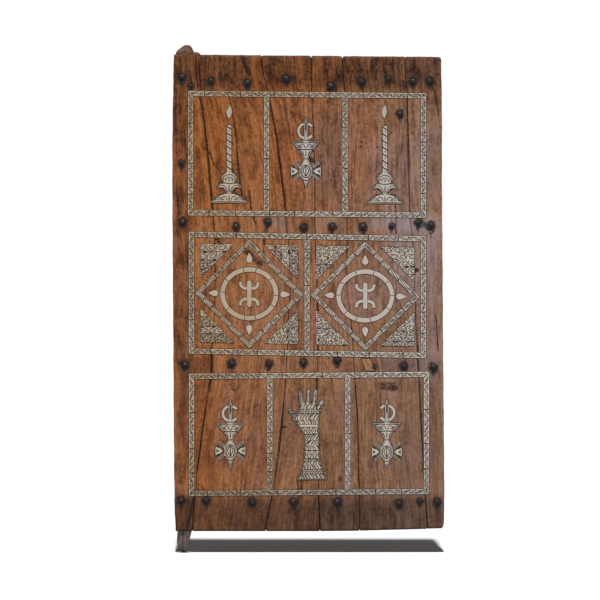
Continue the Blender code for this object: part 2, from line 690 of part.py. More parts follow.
def batten_outline(row):
    """Left, right, foot and top of a batten, from its housing in the stile to near the free edge."""
    height = BATTEN_HEIGHTS[row]
    return (edge_at(0, height) + BATTEN_HINGE_STOP, edge_at(6, height) - BATTEN_FREE_STOP,
            height - BATTEN_HEIGHT / 2, height + BATTEN_HEIGHT / 2)


def battens(material):
    """Four battens with chamfered back edges, drilled for their nails."""
    for row in BATTEN_HEIGHTS:
        left, right, foot, top = batten_outline(row)
        near = PLANK_BACK + FIT_GAP
        outline = [(left, foot), (right, foot), (right, top), (left, top)]
        levels = ((0, near), (0, BATTEN_BACK - BATTEN_CHAMFER), (BATTEN_CHAMFER, BATTEN_BACK))
        rings = [[(x, depth, z) for x, z in grown(outline, -inset)] for inset, depth in levels]
        made = loft(f"batten_{row}", rings, material)
        cut_recesses(made)


def pivot_ring(radius, height):
    """Ring of points about the pivot axis."""
    turns = [2 * math.pi * i / PIVOT_SIDES for i in range(PIVOT_SIDES)]
    return [(radius * math.cos(t), radius * math.sin(t), height) for t in turns]


def foot_radius_at(height):
    """Radius of the tapered foot pivot at a height above the sill, negative inside the dish."""
    tip = FIT_GAP - DISH_DEPTH
    share = (height - tip) / (FOOT_HEIGHT - tip)
    return TIP_RADIUS + (FOOT_RADIUS - TIP_RADIUS) * min(share / FOOT_FULL_AT, 1) ** FOOT_SWELL


def pivot_stile(material):
    """Pivot stile: body with housings for the battens, foot pivot and domed head pivot."""
    outline = plank_outline(0)
    made = slab("pivot_stile", outline, [list(range(len(outline)))], FRONT, -FRONT, material)
    tip = FIT_GAP - DISH_DEPTH
    heights = [tip, *(FOOT_HEIGHT * level for level in FOOT_LEVELS), FOOT_HEIGHT - FIT_GAP]
    rings = [pivot_ring(foot_radius_at(height), SILL + height) for height in heights]
    rings.append(pivot_ring(FOOT_RADIUS * PIVOT_ROOT_SHARE, LEAF_FOOT + PIVOT_ROOT))
    combine(made, loft("foot_pivot", rings), 'UNION')
    dome = [(PIVOT_ROOT_SHARE, -PIVOT_ROOT), (1.0, FIT_GAP)]
    dome += [(share, HEAD_HEIGHT * rise) for share, rise in HEAD_DOME]
    rings = [pivot_ring(HEAD_RADIUS * share, LEAF_TOP + rise) for share, rise in dome]
    combine(made, loft("head_pivot", rings), 'UNION')
    for row in BATTEN_HEIGHTS:
        left, right, foot, top = batten_outline(row)
        housing = grown([(left, foot), (right, foot), (right, top), (left, top)], FIT_GAP)
        cutter = slab(f"housing_{row}", housing, [[0, 1, 2, 3]], PLANK_BACK, BATTEN_BACK + CUT_OVERRUN)
        combine(made, cutter, 'DIFFERENCE')
    cut_recesses(made)


def planks(material):
    """Five planks with grown edges."""
    for index in range(1, 6):
        outline = plank_outline(index)
        made = slab(f"plank_{index}", outline, [list(range(len(outline)))], FRONT, PLANK_BACK, material)
        cut_recesses(made)


def foot_socket(material):
    """Iron cup let into the sill, dished for the foot pivot."""
    dish_floor = SILL - DISH_DEPTH
    rings = [pivot_ring(SOCKET_RADIUS, 0), pivot_ring(SOCKET_RADIUS, SILL - SOCKET_CHAMFER),
             pivot_ring(SOCKET_RADIUS - SOCKET_CHAMFER, SILL),
             pivot_ring(foot_radius_at(0) + 2 * FIT_GAP, SILL),
             pivot_ring(TIP_RADIUS + 2 * FIT_GAP, dish_floor)]
    return round_shaded(loft("foot_socket", rings, material))


def main():
    clear_scene()
    stile_wood = finish("stile wood", (0.21, 0.085, 0.04), 0.55)
    plank_wood = finish("plank wood", (0.30, 0.14, 0.065), 0.5)
    batten_wood = finish("batten wood", (0.19, 0.10, 0.055), 0.65)
    repair_wood = finish("repair wood", (0.42, 0.24, 0.12), 0.6)
    bone = finish("engraved bone", (0.50, 0.46, 0.38), 0.4)
    plain_bone = finish("plain bone", (0.62, 0.56, 0.46), 0.35)
    iron = finish("forged iron", (0.05, 0.048, 0.05), 0.5, 0.8)

    upper = Panel("upper", UPPER_FOOT, UPPER_HEIGHT, UPPER_SHIFT, UPPER_SPREAD, UPPER_TILT, UPPER_DIVIDER_SHIFTS)
    middle = Panel("middle", MIDDLE_FOOT, MIDDLE_HEIGHT, MIDDLE_SHIFT, MIDDLE_SPREAD, MIDDLE_TILT,
                   MIDDLE_DIVIDER_SHIFTS)
    lower = Panel("lower", LOWER_FOOT, LOWER_HEIGHT, LOWER_SHIFT, LOWER_SPREAD, LOWER_TILT, LOWER_DIVIDER_SHIFTS)
    for panel in (upper, middle, lower):
        inlay(f"border_{panel.name}", [border_plate(panel)], bone, panel)
    candlestick("left", upper.compartment(0), bone, plain_bone, upper)
    fibula("fibula_upper", upper.compartment(1), UPPER_FIBULA_RISE, 1, bone, upper)
    candlestick("right", upper.compartment(2), bone, plain_bone, upper)
    lozenge_panel(middle, bone, plain_bone)
    fibula("fibula_left", lower.compartment(0), 0.0, 1, bone, lower)
    open_hand(lower.compartment(1), bone, lower)
    fibula("fibula_right", lower.compartment(2), 0.0, -1, bone, lower)
    repair_patch(repair_wood, middle, lower)

    leaf = bpy.data.objects.new("leaf", None)
    bpy.context.scene.collection.objects.link(leaf)
    clenched_nails(iron, leaf)
    pivot_stile(stile_wood)
    planks(plank_wood)
    battens(batten_wood)
    socket = foot_socket(iron)
    for made in bpy.context.scene.collection.objects:
        if made.type == 'MESH' and made is not socket:
            made.parent = leaf


main()
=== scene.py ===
"""Inlaid pivot door: boards, bone inlay, nails and stage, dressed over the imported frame."""

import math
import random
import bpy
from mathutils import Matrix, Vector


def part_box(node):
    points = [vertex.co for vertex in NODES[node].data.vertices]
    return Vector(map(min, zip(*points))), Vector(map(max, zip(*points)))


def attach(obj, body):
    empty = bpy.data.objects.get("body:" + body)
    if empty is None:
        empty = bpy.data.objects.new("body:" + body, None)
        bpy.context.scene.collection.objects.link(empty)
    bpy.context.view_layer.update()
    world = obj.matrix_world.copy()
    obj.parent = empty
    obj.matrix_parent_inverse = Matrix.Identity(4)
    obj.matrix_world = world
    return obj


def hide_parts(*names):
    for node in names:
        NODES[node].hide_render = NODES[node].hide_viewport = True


bl_info = {
    "name": "Inlaid Pivot Door",
    "version": (1, 0, 0),
    "blender": (4, 5, 0),
    "location": "3D View > Sidebar > Inlaid Door",
    "description": "Builds the boards, bone inlay, nails and stage of an inlaid wooden pivot door",
    "category": "Object",
}

import bmesh
import bpy
import numpy as np
from bpy.props import FloatProperty, FloatVectorProperty, PointerProperty
from mathutils import Matrix, Vector, noise

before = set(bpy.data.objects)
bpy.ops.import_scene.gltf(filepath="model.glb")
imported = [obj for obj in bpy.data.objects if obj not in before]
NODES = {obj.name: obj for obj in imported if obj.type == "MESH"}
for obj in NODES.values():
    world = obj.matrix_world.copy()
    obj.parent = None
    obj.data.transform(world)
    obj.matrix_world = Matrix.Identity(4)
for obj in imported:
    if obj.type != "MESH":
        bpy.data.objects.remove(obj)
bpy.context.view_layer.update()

# Levels read from the frame, in metres
WOOD_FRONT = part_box("plank_3")[0].y
WOOD_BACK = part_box("plank_3")[1].y
BONE_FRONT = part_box("ring_left")[0].y
LEAF_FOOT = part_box("plank_3")[0].z
LEAF_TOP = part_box("plank_1")[1].z
STILE_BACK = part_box("pivot_stile")[1].y
HEAD_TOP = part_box("pivot_stile")[1].z
BATTEN_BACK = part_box("batten_top")[1].y
SOCKET_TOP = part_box("foot_socket")[1].z

# The photograph is square on to the front: one pixel, the pivot's column and the leaf's foot line
PIXEL = 0.00372
AXIS_COLUMN = 184.0
FOOT_LINE = 530.5
FOOT_LINE_HEIGHT = 0.098
PHOTO_SIDE = 600

BOARDS = ("pivot_stile", "plank_1", "plank_2", "plank_3", "plank_4", "plank_5")
BATTENS = ("batten_top", "batten_upper", "batten_lower", "batten_bottom")
BORDERS = ("border_upper", "border_middle", "border_lower")
SIDES = ("left", "right")
WELD = 0.00001


def tint(red, green, blue):
    """A display colour, 0 to 255, as the linear colour that Blender stores."""
    shares = (level / 255 for level in (red, green, blue))
    return tuple(share / 12.92 if share <= 0.04045 else ((share + 0.055) / 1.055) ** 2.4 for share in shares)


def spot(column, line):
    """A pixel of the photograph as a place (x, z) on the door's front."""
    return Vector(((column - AXIS_COLUMN) * PIXEL, FOOT_LINE_HEIGHT + (FOOT_LINE - line) * PIXEL))


def length(name, description, default):
    """A size that a user may change."""
    return FloatProperty(name=name, description=description, default=default, unit="LENGTH", precision=4)


def colour(name, description, display):
    """A colour that a user may change, given as its display colour."""
    return FloatVectorProperty(name=name, description=description, default=tint(*display), subtype="COLOR",
                               min=0.0, max=1.0)


class DoorSizes(bpy.types.PropertyGroup):
    """Sizes of the door's fine detail."""

    edge_wear: length("Edge wear", "Radius worn on the boards' front edges", 0.0028)
    hollow: length("Hollow", "Depth of the slow hollows in the boards' faces", 0.0008)
    crack_depth: length("Crack depth", "Depth of the drying cracks", 0.006)
    mastic_margin: length("Mastic margin", "Dark line left round every piece of bone", 0.0019)
    strip_inset: length("Strip inset", "How far each strip of bone stays inside its bed", 0.0010)
    strip_length: length("Strip length", "Usual length of one strip of a border", 0.115)
    strip_gap: length("Strip gap", "Dark joint between two strips", 0.0020)
    border_pitch: length("Border pitch", "Length of one leaf and curl of the border's engraving", 0.042)
    lozenge_pitch: length("Lozenge pitch", "Length of one leaf of the lozenge's engraving", 0.044)
    stroke: length("Stroke", "Width of an engraved line", 0.0027)
    nail_radius: length("Nail radius", "Radius of a forged nail's head", 0.0102)
    nail_height: length("Nail height", "Height of a forged nail's head over the wood", 0.0048)


class DoorColours(bpy.types.PropertyGroup):
    """Colours of the door's woods, bone and iron."""

    # The boards run from warm wood on the left to dull wood on the right; the right's greyer tone is partly the wood's
    # own and partly painted sheen
    warm_wood: colour("Warm wood", "Oiled orange brown of the upper left", (134, 81, 39))
    dull_sheened_wood: colour("Dull wood", "Brown of the right side", (124, 99, 84))
    deep_wood: colour("Deep wood", "Dark lines of battens and head pivot", (44, 25, 16))
    grain_tint: colour("Grain tint", "Share of a board's colour left in the dark lines of its grain", (172, 148, 122))
    # Pale fibres of the boards: partly rubbed wear, partly painted sheen
    worn_sheen_wood: colour("Worn wood", "Pale rubbed fibres", (170, 136, 100))
    # Grey of the boards: partly bleached, weathered wood and partly painted sheen
    grey_sheen_wood: colour("Grey wood", "Bleached places", (136, 122, 122))
    dirt: colour("Dirt", "Old dirt in seams and cracks", (30, 21, 17))
    iron_stain: colour("Iron stain", "Black of the wood round a nail", (24, 20, 21))
    end_wood: colour("End wood", "Sandy wood of the head pivot", (102, 69, 38))
    foot_wood: colour("Foot wood", "Weathered wood of the foot pivot", (134, 119, 112))
    batten_wood: colour("Batten wood", "Wood of the battens", (126, 92, 66))
    repair_wood: colour("Repair wood", "Pale wood of the let-in repair", (136, 94, 60))
    bone: colour("Bone", "Warm bone of the left side", (161, 147, 128))
    grey_bone: colour("Grey bone", "Greyer bone of the right side", (165, 159, 153))
    old_bone: colour("Old bone", "Yellowed and worn bone", (142, 121, 94))
    mastic: colour("Mastic", "Dark filling of the engraving and joints", (36, 26, 17))
    iron: colour("Iron", "Forged iron", (15, 13, 13))
    # Pale grey of the bare spots on the nails: partly worn iron, partly painted glint
    rubbed_iron_glint: colour("Rubbed iron", "Bare spots on the iron", (150, 146, 142))
    rust: colour("Rust", "Rust on the iron", (38, 27, 22))
    floor: colour("Floor", "Pale floor", (186, 186, 186))


class Value:
    """A shader socket that Python's operators work on: each one adds a Math node."""

    def __init__(self, finish, socket):
        self.finish = finish
        self.socket = socket

    def math(self, operation, *values):
        sockets = dict(enumerate(values))
        return self.finish.node("ShaderNodeMath", {"operation": operation}, sockets)

    def __add__(self, other):
        return self.math("ADD", self, other)

    __radd__ = __add__

    def __sub__(self, other):
        return self.math("SUBTRACT", self, other)

    def __rsub__(self, other):
        return self.math("SUBTRACT", other, self)

    def __mul__(self, other):
        return self.math("MULTIPLY", self, other)

    __rmul__ = __mul__

    def __truediv__(self, other):
        return self.math("DIVIDE", self, other)

    def __rtruediv__(self, other):
        return self.math("DIVIDE", other, self)

    def sine(self):
        return self.math("SINE", self)

    def larger(self, other):
        return self.math("MAXIMUM", self, other)

    def between(self, low, high):
        """0 below low, 1 above high and a smooth step between them."""
        sockets = {0: self, 1: low, 2: high, 3: 0.0, 4: 1.0}
        return self.finish.node("ShaderNodeMapRange", {"interpolation_type": "SMOOTHSTEP"}, sockets)

    def other(self, output):
        """Another output of the node that this value comes from."""
        return Value(self.finish, self.socket.node.outputs[output])


class Finish:
    """One node tree, a material's or the world's, and the ways to add to it."""

    def __init__(self, tree):
        self.tree = tree
        self.tree.nodes.clear()

    def node(self, kind, settings=None, sockets=None, output=0):
        """A node of that kind with its settings and the values or links of its sockets."""
        made = self.tree.nodes.new(kind)
        for key, value in (settings or {}).items():
            setattr(made, key, value)
        for key, value in (sockets or {}).items():
            self.feed(made.inputs[key], value)
        return Value(self, made.outputs[output]) if made.outputs else made

    def feed(self, socket, value):
        if isinstance(value, Value):
            self.tree.links.new(value.socket, socket)
        else:
            socket.default_value = value

    def mix(self, share, first, second, blend="MIX"):
        """Two colours mixed by the share of the second."""
        settings = {"data_type": "RGBA", "blend_type": blend}
        return self.node("ShaderNodeMix", settings, {0: share, 6: first, 7: second}, output=2)

    def scaled(self, vector, amount):
        """A colour or vector times a value."""
        return self.node("ShaderNodeVectorMath", {"operation": "SCALE"}, {0: vector, 3: amount})

    def stretched(self, vector, amounts):
        return self.node("ShaderNodeVectorMath", {"operation": "MULTIPLY"}, {0: vector, 1: amounts})

    def cloud(self, vector, amounts, detail=3.0, roughness=0.5):
        """Noise with so many waves to the metre along each axis."""
        sockets = {"Vector": self.stretched(vector, amounts), "Scale": 1.0, "Detail": detail, "Roughness": roughness}
        return self.node("ShaderNodeTexNoise", None, sockets)

    def attribute(self, name, output):
        return self.node("ShaderNodeAttribute", {"attribute_name": name}, output=output)

    def place(self):
        return self.node("ShaderNodeTexCoord", output="Object")

    def parts(self, vector):
        """The three values of a vector or colour."""
        first = self.node("ShaderNodeSeparateXYZ", None, {0: vector})
        return first, first.other("Y"), first.other("Z")

    def surface(self, settings):
        """A Principled shader with these values or links, joined to the output."""
        shader = self.node("ShaderNodeBsdfPrincipled", None, settings)
        self.node("ShaderNodeOutputMaterial", None, {"Surface": shader})

    def bump(self, height, strength, distance):
        return self.node("ShaderNodeBump", None, {"Height": height, "Strength": strength, "Distance": distance})


def material(name, build):
    """The door's material of that name, built the first time it is asked for."""
    full_name = f"door_{name}"
    found = bpy.data.materials.get(full_name)
    if found:
        return found
    made = bpy.data.materials.new(full_name)
    made.use_nodes = True
    build(Finish(made.node_tree), bpy.context.scene.door_colours)
    return made


def solid(shade):
    """A colour property as a socket's four numbers."""
    return (*shade, 1.0)


# Shares of red, green and blue in the boards' ruddier and more golden places
RUDDY = (0.97, 0.95, 1.04)
GOLDEN = (1.04, 0.99, 0.85)


def board_finish(finish, colours):
    """Old oiled wood whose grain, tone, stains and painted sheen follow the attributes of its board."""
    grain = finish.attribute("grain", "Vector")
    marks = finish.attribute("marks", "Color")
    dark = marks.other("Alpha")
    iron, dirt, grey_sheen = finish.parts(marks)
    warm = finish.attribute("tone", "Fac")
    drift = finish.cloud(grain, (9.0, 0.8, 9.0), 3.0)
    streak = finish.cloud(grain, (140.0, 5.0, 140.0), 4.0, 0.55)
    fibre = finish.cloud(grain, (420.0, 14.0, 420.0), 3.0, 0.6)
    pore = finish.cloud(grain, (520.0, 7.0, 520.0), 2.0)
    blotch = finish.cloud(grain, (26.0, 13.0, 26.0), 6.0, 0.66)
    spill = finish.cloud(grain, (95.0, 70.0, 95.0), 5.0, 0.65)
    across = finish.parts(grain)[0]
    ring = (drift * 46.0 + across * 90.0).sine()
    high = finish.parts(finish.place())[2].between(0.3, 1.6)
    lively = 0.7 + warm * 0.3 + high * 0.2
    slow = (drift - 0.5) * 0.4 + (blotch - 0.5) * 1.6 + ring * 0.08
    quick = (streak - 0.5) * 0.55 + (fibre - 0.5) * 0.9 + (spill - 0.5) * 1.0
    stain = blotch.between(0.56, 0.72)
    light = (0.66 + (slow + quick) * lively - stain * 0.5).between(0.0, 1.05)
    # Warm to dull by the tone: the wood's own colour, with painted sheen on the right side
    body = finish.mix(warm, solid(colours.dull_sheened_wood), solid(colours.warm_wood))
    hue = finish.cloud(grain, (15.0, 6.0, 15.0), 4.0, 0.6).between(0.38, 0.62)
    body = finish.mix(hue, finish.stretched(body, RUDDY), finish.stretched(body, GOLDEN))
    body = finish.mix(light, finish.stretched(body, tuple(colours.grain_tint)), body)
    body = finish.scaled(body, 0.74 + light * 0.56)
    # Pale fibres: partly rubbed wear, partly painted sheen
    worn = (streak * 0.4 + fibre * 0.4 + spill * 0.2).between(0.51, 0.64)
    body = finish.mix(worn * (0.26 - dark * 0.15), body, solid(colours.worn_sheen_wood))
    # Grey mixed in: bleached wood and painted sheen
    body = finish.mix(grey_sheen * (0.35 + light * 0.65), body, solid(colours.grey_sheen_wood))
    shadow = dark * (1.1 - light * 0.25 + high * (0.16 - light * 0.4))
    body = finish.mix(shadow * 0.9, body, finish.scaled(body, 0.12))
    line = pore.between(0.59, 0.67) * 0.45
    pepper = finish.cloud(grain, (230.0, 190.0, 230.0), 3.0, 0.6)
    grime = (dirt * (pepper * 3.0 - 0.5) + (blotch - 0.5) * 0.7 + (streak - 0.5) * 0.5).between(0.28, 0.72)
    body = finish.mix((grime * 0.92).larger(line), body, solid(colours.dirt))
    black = (iron + (spill - 0.5) * 1.5 + (fibre - 0.5) * 0.5).between(0.34, 0.7)
    body = finish.mix(black * 0.93, body, solid(colours.iron_stain))
    height = streak * 0.5 + fibre * 0.4 - line - grime * 0.3
    finish.surface({
        "Base Color": body,
        "Roughness": 0.5 + streak * 0.2 + grime * 0.2,
        "Specular IOR Level": 0.12,
        "Normal": finish.bump(height, 0.5, 0.0009),
    })


def plain_wood(finish, base, deep, stretch, painted_shade=0.0):
    """Worn wood without a board's attributes, its grain along the stretched axis and darkened towards deep by painted
    shade.
    """
    place = finish.place()
    streak = finish.cloud(place, tuple(55.0 * share for share in stretch), 4.0, 0.6)
    fibre = finish.cloud(place, tuple(260.0 * share for share in stretch), 3.0, 0.6)
    blotch = finish.cloud(place, (16.0, 16.0, 16.0), 4.0, 0.6)
    light = (streak * 0.9 + fibre * 0.5 + blotch * 0.6 - 0.62).between(0.0, 0.75)
    body = finish.mix(light, deep, base)
    finish.surface({
        "Base Color": finish.scaled(finish.mix(painted_shade, body, deep), 0.8 + blotch * 0.4),
        "Roughness": 0.6 + streak * 0.25,
        "Specular IOR Level": 0.25,
        "Normal": finish.bump(streak * 0.6 + fibre * 0.4, 0.6, 0.0012),
    })


def batten_finish(finish, colours):
    plain_wood(finish, solid(colours.batten_wood), solid(colours.deep_wood), (0.05, 1.0, 1.0))


def head_finish(finish, colours):
    height = finish.parts(finish.place())[2]
    # Painted shade: the head pivot darkens towards the top of its dome
    painted_shade = height.between(LEAF_TOP + 0.012, HEAD_TOP) * 0.9
    plain_wood(finish, solid(colours.end_wood), solid(colours.deep_wood), (1.0, 1.0, 0.35), painted_shade)


def foot_finish(finish, colours):
    plain_wood(finish, solid(colours.foot_wood), solid(colours.dirt), (1.0, 1.0, 0.12))


def repair_finish(finish, colours):
    plain_wood(finish, solid(colours.repair_wood), solid(colours.batten_wood), (0.5, 1.0, 0.3))


def bone_finish(finish, colours):
    """Pale bone, each plate a little different, with grime in its pores."""
    place = finish.place()
    shade = finish.attribute("shade", "Fac")
    blotch = finish.cloud(place, (28.0, 28.0, 28.0), 4.0, 0.6)
    speck = finish.cloud(place, (420.0, 420.0, 420.0), 3.0, 0.6)
    across, _, height = finish.parts(place)
    age = (shade * 0.45 + blotch * 0.9 - 0.05).between(0.1, 1.0)
    pale = (shade * -1.0).between(0.0, 1.0).larger(across.between(0.05, 0.85) * 0.75)
    body = finish.mix(age, solid(colours.bone), solid(colours.old_bone))
    body = finish.mix(pale, body, solid(colours.grey_bone))
    body = finish.mix(height.between(1.4, 1.72) * 0.36, body, solid(colours.old_bone))
    # Darker towards the door's foot, below about 0.4 m
    body = finish.scaled(body, 0.72 + height.between(0.2, 0.42) * 0.28)
    body = finish.mix(speck.between(0.55, 0.75) * 0.4, body, solid(colours.mastic))
    finish.surface({
        "Base Color": body,
        "Roughness": 0.4 + blotch * 0.25,
        "Specular IOR Level": 0.35,
        "Normal": finish.bump(speck + blotch * 0.5, 0.25, 0.0004),
    })


def mastic_finish(finish, colours):
    """Dark filling, dull and a little uneven."""
    blotch = finish.cloud(finish.place(), (130.0, 130.0, 130.0), 3.0)
    body = finish.scaled(tuple(colours.mastic), 0.6 + blotch * 0.8)
    finish.surface({
        "Base Color": body,
        "Roughness": 0.6 + blotch * 0.25,
        "Specular IOR Level": 0.2,
    })


def iron_finish(finish, colours):
    """Black forged iron with rust, and bare worn spots that also carry painted glints."""
    place = finish.place()
    blotch = finish.cloud(place, (150.0, 150.0, 150.0), 4.0, 0.6)
    pit = finish.cloud(place, (600.0, 600.0, 600.0), 3.0)
    rust = (blotch + (pit - 0.5) * 0.4).between(0.5, 0.7)
    # Bare worn spots, made pale and shiny in colour as painted glints on the heads
    rubbed_shine = (blotch * 0.5 + pit * 0.5).between(0.61, 0.67)
    body = finish.mix(rust * 0.6, solid(colours.iron), solid(colours.rust))
    finish.surface({
        "Base Color": finish.mix(rubbed_shine * 0.6, body, solid(colours.rubbed_iron_glint)),
        "Metallic": rubbed_shine * 0.7,
        "Roughness": 0.42 + rust * 0.3 - rubbed_shine * 0.15,
        "Specular IOR Level": 0.2,
        "Normal": finish.bump(pit + blotch, 0.5, 0.0009),
    })


def floor_finish(finish, colours):
    """Plain pale floor."""
    fleck = finish.cloud(finish.place(), (3.0, 3.0, 3.0), 2.0)
    finish.surface({
        "Base Color": finish.scaled(tuple(colours.floor), 0.99 + fleck * 0.02),
        "Roughness": 0.9,
        "Specular IOR Level": 0.0,
    })


def deselect():
    """Back to object mode with nothing selected, because operators act on all that is."""
    if bpy.context.object and bpy.context.object.mode != "OBJECT":
        bpy.ops.object.mode_set(mode="OBJECT")
    bpy.ops.object.select_all(action="DESELECT")


def choose(*objects):
    """Selects these objects, the first of them active."""
    deselect()
    for chosen in objects:
        chosen.select_set(True)
    bpy.context.view_layer.objects.active = objects[0]


def select_faces(obj, wanted):
    """In edit mode, selects the faces that the test wants."""
    shape = bmesh.from_edit_mesh(obj.data)
    for face in shape.faces:
        face.select_set(False)
    for face in shape.faces:
        if wanted(face):
            face.select_set(True)
    bmesh.update_edit_mesh(obj.data)


def mesh_object(name, points, faces):
    """A new object in the scene from points and faces."""
    mesh = bpy.data.meshes.new(name)
    mesh.from_pydata(points, [], faces)
    made = bpy.data.objects.new(name, mesh)
    bpy.context.scene.collection.objects.link(made)
    return made


def settle(obj, body, slot, *nodes):
    """Puts a piece's place into its mesh, then hangs it on its body and hides the nodes it stands for; the slot is not
    used.
    """
    choose(obj)
    bpy.ops.object.transform_apply(location=True, rotation=True, scale=True)
    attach(obj, body)
    if nodes:
        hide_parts(*nodes)


def coat(obj, name, build):
    """Gives an object one material."""
    obj.data.materials.clear()
    obj.data.materials.append(material(name, build))


def smooth(obj, degrees):
    choose(obj)
    bpy.ops.object.shade_smooth_by_angle(angle=math.radians(degrees))


def apply_modifier(obj, kind, **settings):
    """Adds one modifier with these settings and applies it."""
    choose(obj)
    bpy.ops.object.modifier_add(type=kind)
    added = obj.modifiers[-1]
    for key, value in settings.items():
        setattr(added, key, value)
    bpy.ops.object.modifier_apply(modifier=added.name)


def points_of(obj):
    """The mesh's points as an array."""
    places = np.empty(len(obj.data.vertices) * 3)
    obj.data.vertices.foreach_get("co", places)
    return places.reshape(-1, 3)


def put_points(obj, places):
    obj.data.vertices.foreach_set("co", np.ascontiguousarray(places, dtype=np.float32).ravel())
    obj.data.update()


def ripple(columns, seed):
    """Smooth noise, about -1 to 1, at rows of three scaled coordinates."""
    shift = Vector((seed * 3.7, seed * 1.9, seed * 7.3))
    return np.array([noise.noise(Vector(row) + shift) for row in np.stack(columns, axis=1)])


def patches(x, z, places):
    """Soft flat-topped patches (column, line, reach across, reach along, amount) added up."""
    total = np.zeros(len(x))
    for column, line, reach_across, reach_along, amount in places:
        middle = spot(column, line)
        far = ((x - middle.x) / (reach_across * PIXEL)) ** 4 + ((z - middle.y) / (reach_along * PIXEL)) ** 4
        total += amount * np.exp(-far)
    return total


def near_path(x, z, path, reach):
    """1 on a path of pixels and less away from it."""
    places = [spot(*pixel) for pixel in path]
    nearest = np.full(len(x), 1.0)
    for start, end in zip(places, places[1:]):
        run = end - start
        share = ((x - start.x) * run.x + (z - start.y) * run.y) / run.length_squared
        share = np.clip(share, 0.0, 1.0)
        gap = np.hypot(x - start.x - share * run.x, z - start.y - share * run.y)
        nearest = np.minimum(nearest, gap)
    return np.exp(-(nearest / reach) ** 2)


# Drying cracks as pixel paths, with the board each lies in and its width in metres
CRACKS = (
    (1, 0.0028, ((229.5, 97), (231, 105), (234.5, 125), (236.5, 142), (238.5, 170), (242, 196))),
    (1, 0.0030, ((249, 190), (251, 209), (256, 225))),
    (1, 0.0026, ((209.8, 152.5), (212, 159), (214.4, 167))),
    (5, 0.0026, ((432.5, 86), (434.5, 93), (436.6, 100), (439, 116))),
    (0, 0.0024, ((176.5, 190), (178, 203), (179.5, 215))),
    (4, 0.0024, ((395.5, 193), (395.8, 215), (396, 234))),
    (5, 0.0024, ((436, 316), (437, 333), (438, 350))),
    (2, 0.0022, ((297, 479), (298, 485), (298.5, 491))),
    (2, 0.0022, ((301, 477), (301.4, 484), (301.8, 490))),
    (0, 0.0030, ((194, 494), (190.5, 511), (187, 528))),
    (1, 0.0024, ((243, 57), (245, 66), (249, 76))),
)

# Dark stained stretches of seams and scars as pixel paths, with their reach in pixels and strength
STAINED_LINES = (
    (2.0, 0.6, ((212, 354), (212, 373))),
    (1.8, 0.55, ((210, 377), (209, 388))),
    (1.6, 0.45, ((317.5, 299), (318, 352))),
    (1.2, 0.6, ((316.5, 379), (317, 392))),
    (1.4, 0.4, ((418, 322), (419, 372))),
    (1.4, 0.4, ((420, 380), (423.5, 470))),
    (1.2, 0.32, ((356, 386), (358.5, 490))),
    (1.3, 0.35, ((318.5, 495), (320, 530))),
    (1.3, 0.35, ((425.5, 495), (427.5, 526))),
    (1.3, 0.3, ((272, 495), (264.5, 530))),
    (2.4, 0.6, ((260, 82), (264, 90))),
    (4.2, 0.72, ((246.5, 251), (252, 256), (260, 264))),
    (3.2, 0.8, ((179.5, 363), (187, 367))),
    (3.0, 0.6, ((397, 112), (402, 116))),
    (2.4, 0.8, ((218, 239), (219, 243))),
    (2.2, 0.8, ((264, 240), (264.5, 244))),
    (2.1, 0.85, ((309.8, 157.8), (311.6, 161))),
    (1.2, 0.5, ((340, 481), (339.5, 487))),
    (1.3, 0.5, ((230, 384), (237, 394))),
    (2.0, 0.5, ((241, 58), (251, 75))),
    (1.3, 0.5, ((200, 98), (203, 110), (205, 133), (207.2, 151), (210, 187), (212, 208))),
    (1.3, 0.5, ((268, 98), (276, 133), (278.8, 154), (285, 208))),
    (1.0, 0.4, ((407.5, 98), (407.2, 133), (407.4, 170))),
    (1.0, 0.45, ((205.6, 410), (200.5, 442), (195.8, 474))),
    (1.0, 0.45, ((283.4, 405), (279, 440), (274.6, 476))),
    (1.2, 0.5, ((406.5, 416), (405.6, 428), (404.5, 440))),
    (1.8, 0.5, ((196, 495), (188, 528))),
)

# Small knots: column, line, reach in pixels
KNOTS = (
    (361.5, 142, 1.8), (361, 146.5, 1.6), (377.5, 147, 1.7), (391.5, 133, 1.6), (284.5, 427, 2.0),
    (392, 262, 1.6), (417, 270, 2.2), (256, 136, 1.4), (330, 180, 1.4), (372, 440, 1.5), (298, 300, 1.4),
    (340, 479, 3.0),
)

# Tone patches: column, line, reach across and along in pixels, amount
DARK_PATCHES = (
    (310, 70, 220, 22, 0.8), (378, 72, 44, 20, 0.26), (428, 74, 20, 24, 0.14), (215, 72, 30, 20, 0.2),
    (182, 75, 10, 18, -0.2), (310, 518, 220, 24, 0.88), (182, 290, 10, 190, 0.56), (182, 120, 10, 40, 0.54),
    (433, 150, 11, 60, 0.4), (433, 290, 11, 60, 0.2), (433, 430, 11, 60, 0.5), (400, 515, 40, 18, -0.08),
    (215, 150, 26, 60, 0.28), (290, 150, 26, 60, 0.0), (328, 150, 14, 60, 0.56), (362, 150, 16, 60, 0.04),
    (400, 150, 20, 60, 0.2), (182, 516, 12, 18, 0.64), (330, 224, 30, 8, 0.17), (215, 223, 30, 8, 0.14), (340, 518, 50, 20, 0.1),
    (244, 150, 18, 60, 0.08), (375, 290, 50, 55, 0.14), (200, 365, 16, 9, 0.44),
    (405, 364, 34, 9, 0.35), (310, 365, 80, 9, 0.08), (204, 435, 12, 60, 0.36), (240, 435, 28, 60, 0.15),
    (310, 435, 42, 60, 0.27), (370, 435, 24, 60, 0.22), (408, 435, 16, 60, 0.38), (240, 120, 5, 26, 0.2),
    (243, 150, 4, 40, 0.16), (280, 110, 8, 18, 0.08), (284, 440, 6, 50, 0.12), (246, 152, 5, 4, 0.4),
    (217, 147, 5, 5, 0.3), (217.5, 165, 4, 4, 0.3), (295.5, 114, 4, 3.5, 0.45), (276.5, 165, 3, 10, 0.3),
    (322.5, 116, 8, 5, 0.25),
)
